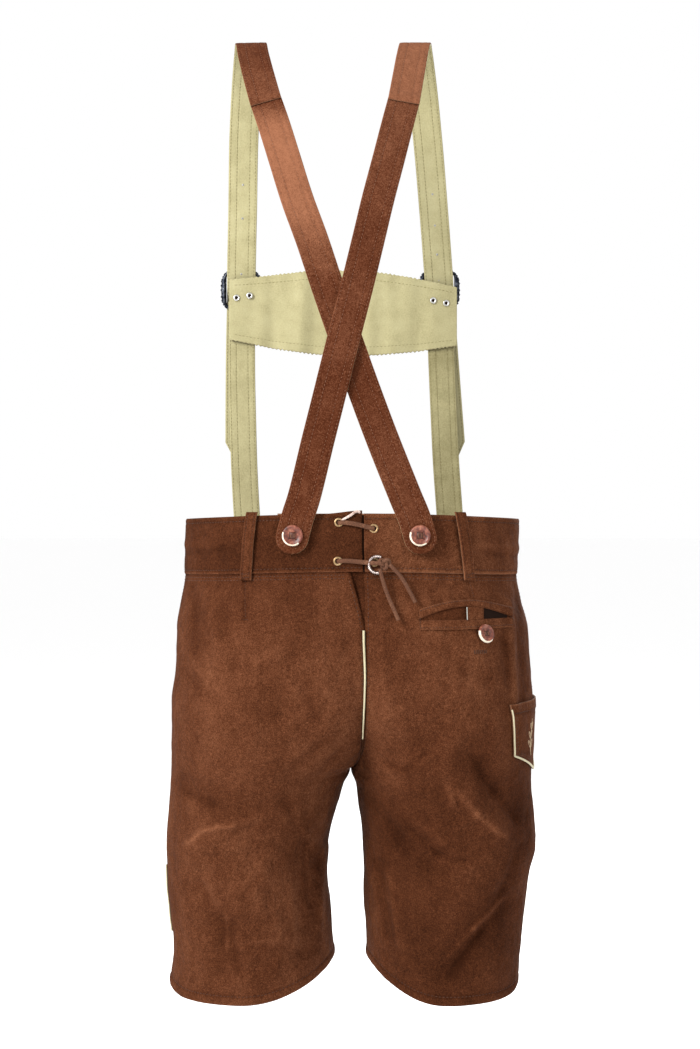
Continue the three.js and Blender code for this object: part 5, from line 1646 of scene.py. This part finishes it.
def make_bar_eyelets(look):
    for node, (x, z) in BAR_EYELETS.items():
        rear = centre_mm(node)[1]
        parts = eyelet_parts((x, rear - 0.9, z), (0, 1, 0), 3.7, 1.7)
        fitting(node, parts, [look["nickel"], look["dark"]], "nickel")


# ---- Buckles -------------------------------------------------------------------------------------
BUCKLE_CENTRE_Z, BUCKLE_BACK = -242.0, -116.4
PRONG_TOP, PRONG_FOOT = -217.5, -240.5


def superellipse(a, b, power, count):
    """An oval whose corners are fuller the higher the power is."""
    angle = np.linspace(0, 2 * math.pi, count, endpoint=False)
    x = np.sign(np.cos(angle)) * a * np.abs(np.cos(angle)) ** (2 / power)
    z = np.sign(np.sin(angle)) * b * np.abs(np.sin(angle)) ** (2 / power)
    return x, z


def make_buckle(side, x, look):
    count = 72
    outer, inner = superellipse(23.0, 23.6, 3.0, count), superellipse(17.0, 18.4, 9, count)
    section = [(0, 0), (0, 2.0), (0.2, 2.9), (0.5, 2.4), (0.75, 3.0), (1, 1.8), (1, 0)]
    rings = [[(x + mix(inner[0][i], outer[0][i], r), BUCKLE_BACK - h,
               BUCKLE_CENTRE_Z + mix(inner[1][i], outer[1][i], r)) for r, h in section] for i in range(count)]
    parts = [(loft_data(rings, endless=True), 0)]
    for share, size, beads, material in ((0.93, 1.55, 44, 0), (0.40, 1.1, 44, 1)):
        for i in np.linspace(0, count, beads, endpoint=False).astype(int):
            place = (x + mix(inner[0][i], outer[0][i], share), BUCKLE_BACK - 2.3,
                     BUCKLE_CENTRE_Z + mix(inner[1][i], outer[1][i], share))
            parts.append((bead_data(place, size), material))
    prong = np.array([(x, BUCKLE_BACK - 4.0, z) for z in np.linspace(PRONG_TOP, PRONG_FOOT, 12)])
    parts.append((tube_data(prong, np.linspace(1.7, 1.1, 12), 10, 0.8, (0, 1, 0)), 1))
    fitting(f"buckle_{side}", parts, [look["buckle"], look["nickel"]], "buckle_metal")


# ---- Stitching of the shorts ---------------------------------------------------------------------
def shorts_stitching():
    """Rows of stitches along the waistband, hems, seams, pocket and darts."""
    rows = []
    for half in ("back", "front"):
        for side in ("left", "right"):
            def line(u, z, lift, side=side, half=half, **style):
                p = on_panel(side, half, u, z, lift)
                rise = on_panel(side, half, u, z, lift + 1)
                rows.append(stitches(p, rise - p, **style))

            u = np.linspace(0.008, 0.992, 240)
            line(u, mix(waist_top_at(u), waist_join_at(u), 0.09), BAND_PROUD - 0.38)
            line(u, mix(waist_top_at(u), waist_join_at(u), 0.93), BAND_PROUD - 0.38)
            below = u if (side, half) != ("left", "back") else np.linspace(0.075, 0.992, 230)
            line(below, waist_join_at(below) - 3.2, 0.0)
            line(below, waist_join_at(below) - 6.4, 0.0)
            line(u, hem_at(side, u) + HEM_DEPTH, -0.45)
            z = np.linspace(-566, -862, 150)
            line(1 - 3.2 / ring_length(side, half, z), z, 0.0)
            if half == "back":
                z = np.linspace(WAIST_JOIN - 8, -764, 120)
                opened = vent_opened(z) if side == "left" else 0
                line((3.6 + opened) / ring_length(side, half, z), z, 0.0)
    back = lambda x, z: on_body("back", x, z)
    x = np.linspace(-66, -160, 60)
    z = UPPER_WELT_TOP - 1.8 + ARCH_TOP * pocket_arch(x)
    rows.append(surface_stitches(back, x, z, WELT_LIE + 1.9, pitch=3.0))
    rows.append(surface_stitches(back, x, LOWER_WELT_FOOT + 1.8, WELT_LIE + 1.9, pitch=3.0))
    for z in (-635.5, -636.7, -637.9):
        rows.append(surface_stitches(back, np.linspace(-120, -134, 16), z, 0.2, pitch=2.2, width=1.0))
    for x1, z1, x2, z2 in ((108.2, -566, 107.6, -603), (-116.6, -562, -122.4, -583)):
        t = np.linspace(0, 1, 18)
        rows.append(surface_stitches(back, mix(x1, x2, t), mix(z1, z2, t), 0.0, pitch=2.6, width=0.9))
    z = np.linspace(-598, -611, 10)
    for x in (-66.8, -160.4):
        rows.append(surface_stitches(back, x + 0 * z, z, WELT_LIE + 1.6, pitch=1.8))
    rows.append(surface_stitches(back, np.linspace(104.5, 109.5, 5), -605, 0.2, pitch=1.6, width=0.9))
    return rows


def make_brace_buttons(look):
    """Each back length of the braces crosses over, so it is buttoned on the side opposite to its name."""
    for side, other in (("left", "right"), ("right", "left")):
        at = np.array(ROUTES["back_" + other][1])
        out = unit(at * (0.12, 1, 0))
        make_button(f"brace_button_back_{side}", at + out * STRAP_BUTTON_STAND, out, BRACE_BUTTON, look)
    out = np.array([0.0, -1.0, 0.0])
    for side in ("left", "right"):
        at = np.array(ROUTES["lower_" + side][6])
        make_button(f"brace_button_front_{side}", at + out * STRAP_BUTTON_STAND, out, BRACE_BUTTON, look)


# ---- Build ---------------------------------------------------------------------------------------
def build():
    make_camera()
    look = make_materials()
    make_lace_ends(look)
    make_stage()
    rows = shorts_stitching()
    for half in ("back", "front"):
        for side in ("left", "right"):
            make_panel(side, half, look)
            make_waistband(side, half, look)
    make_gusset(look)
    make_back_piping(look)
    for side in ("left", "right"):
        make_side_vent(side, look)
        make_side_tape(side, look)
    make_pocket(look)
    surface_button("pocket_button", "back", -131, -620, WELT_LIE + BUTTON_STAND, POCKET_BUTTON, look)
    make_knife_pocket(look, rows)
    make_sprig(look)
    make_flap(look, rows)
    for node, (half, loop_top, x_top, x_foot) in LOOPS.items():
        make_belt_loop(node, half, loop_top, x_top, x_foot, look, rows)
    make_lacing(look)
    stitching("shorts_stitching", rows, look["thread"], "shorts_suede")
    outside, inside = [], []
    for stem in STRAP_NODES:
        make_strap(stem, look, outside, inside)
    make_strap_holes(look)
    make_chest_bar(look, inside, outside)
    make_bar_eyelets(look)
    stitching("brace_stitching", outside, look["strap_thread"], "brace_suede")
    stitching("lining_stitching", inside, look["cream_thread"], "cream_leather")
    make_brace_buttons(look)
    make_buckle("left", 126.6, look)
    make_buckle("right", -99.6, look)


build()
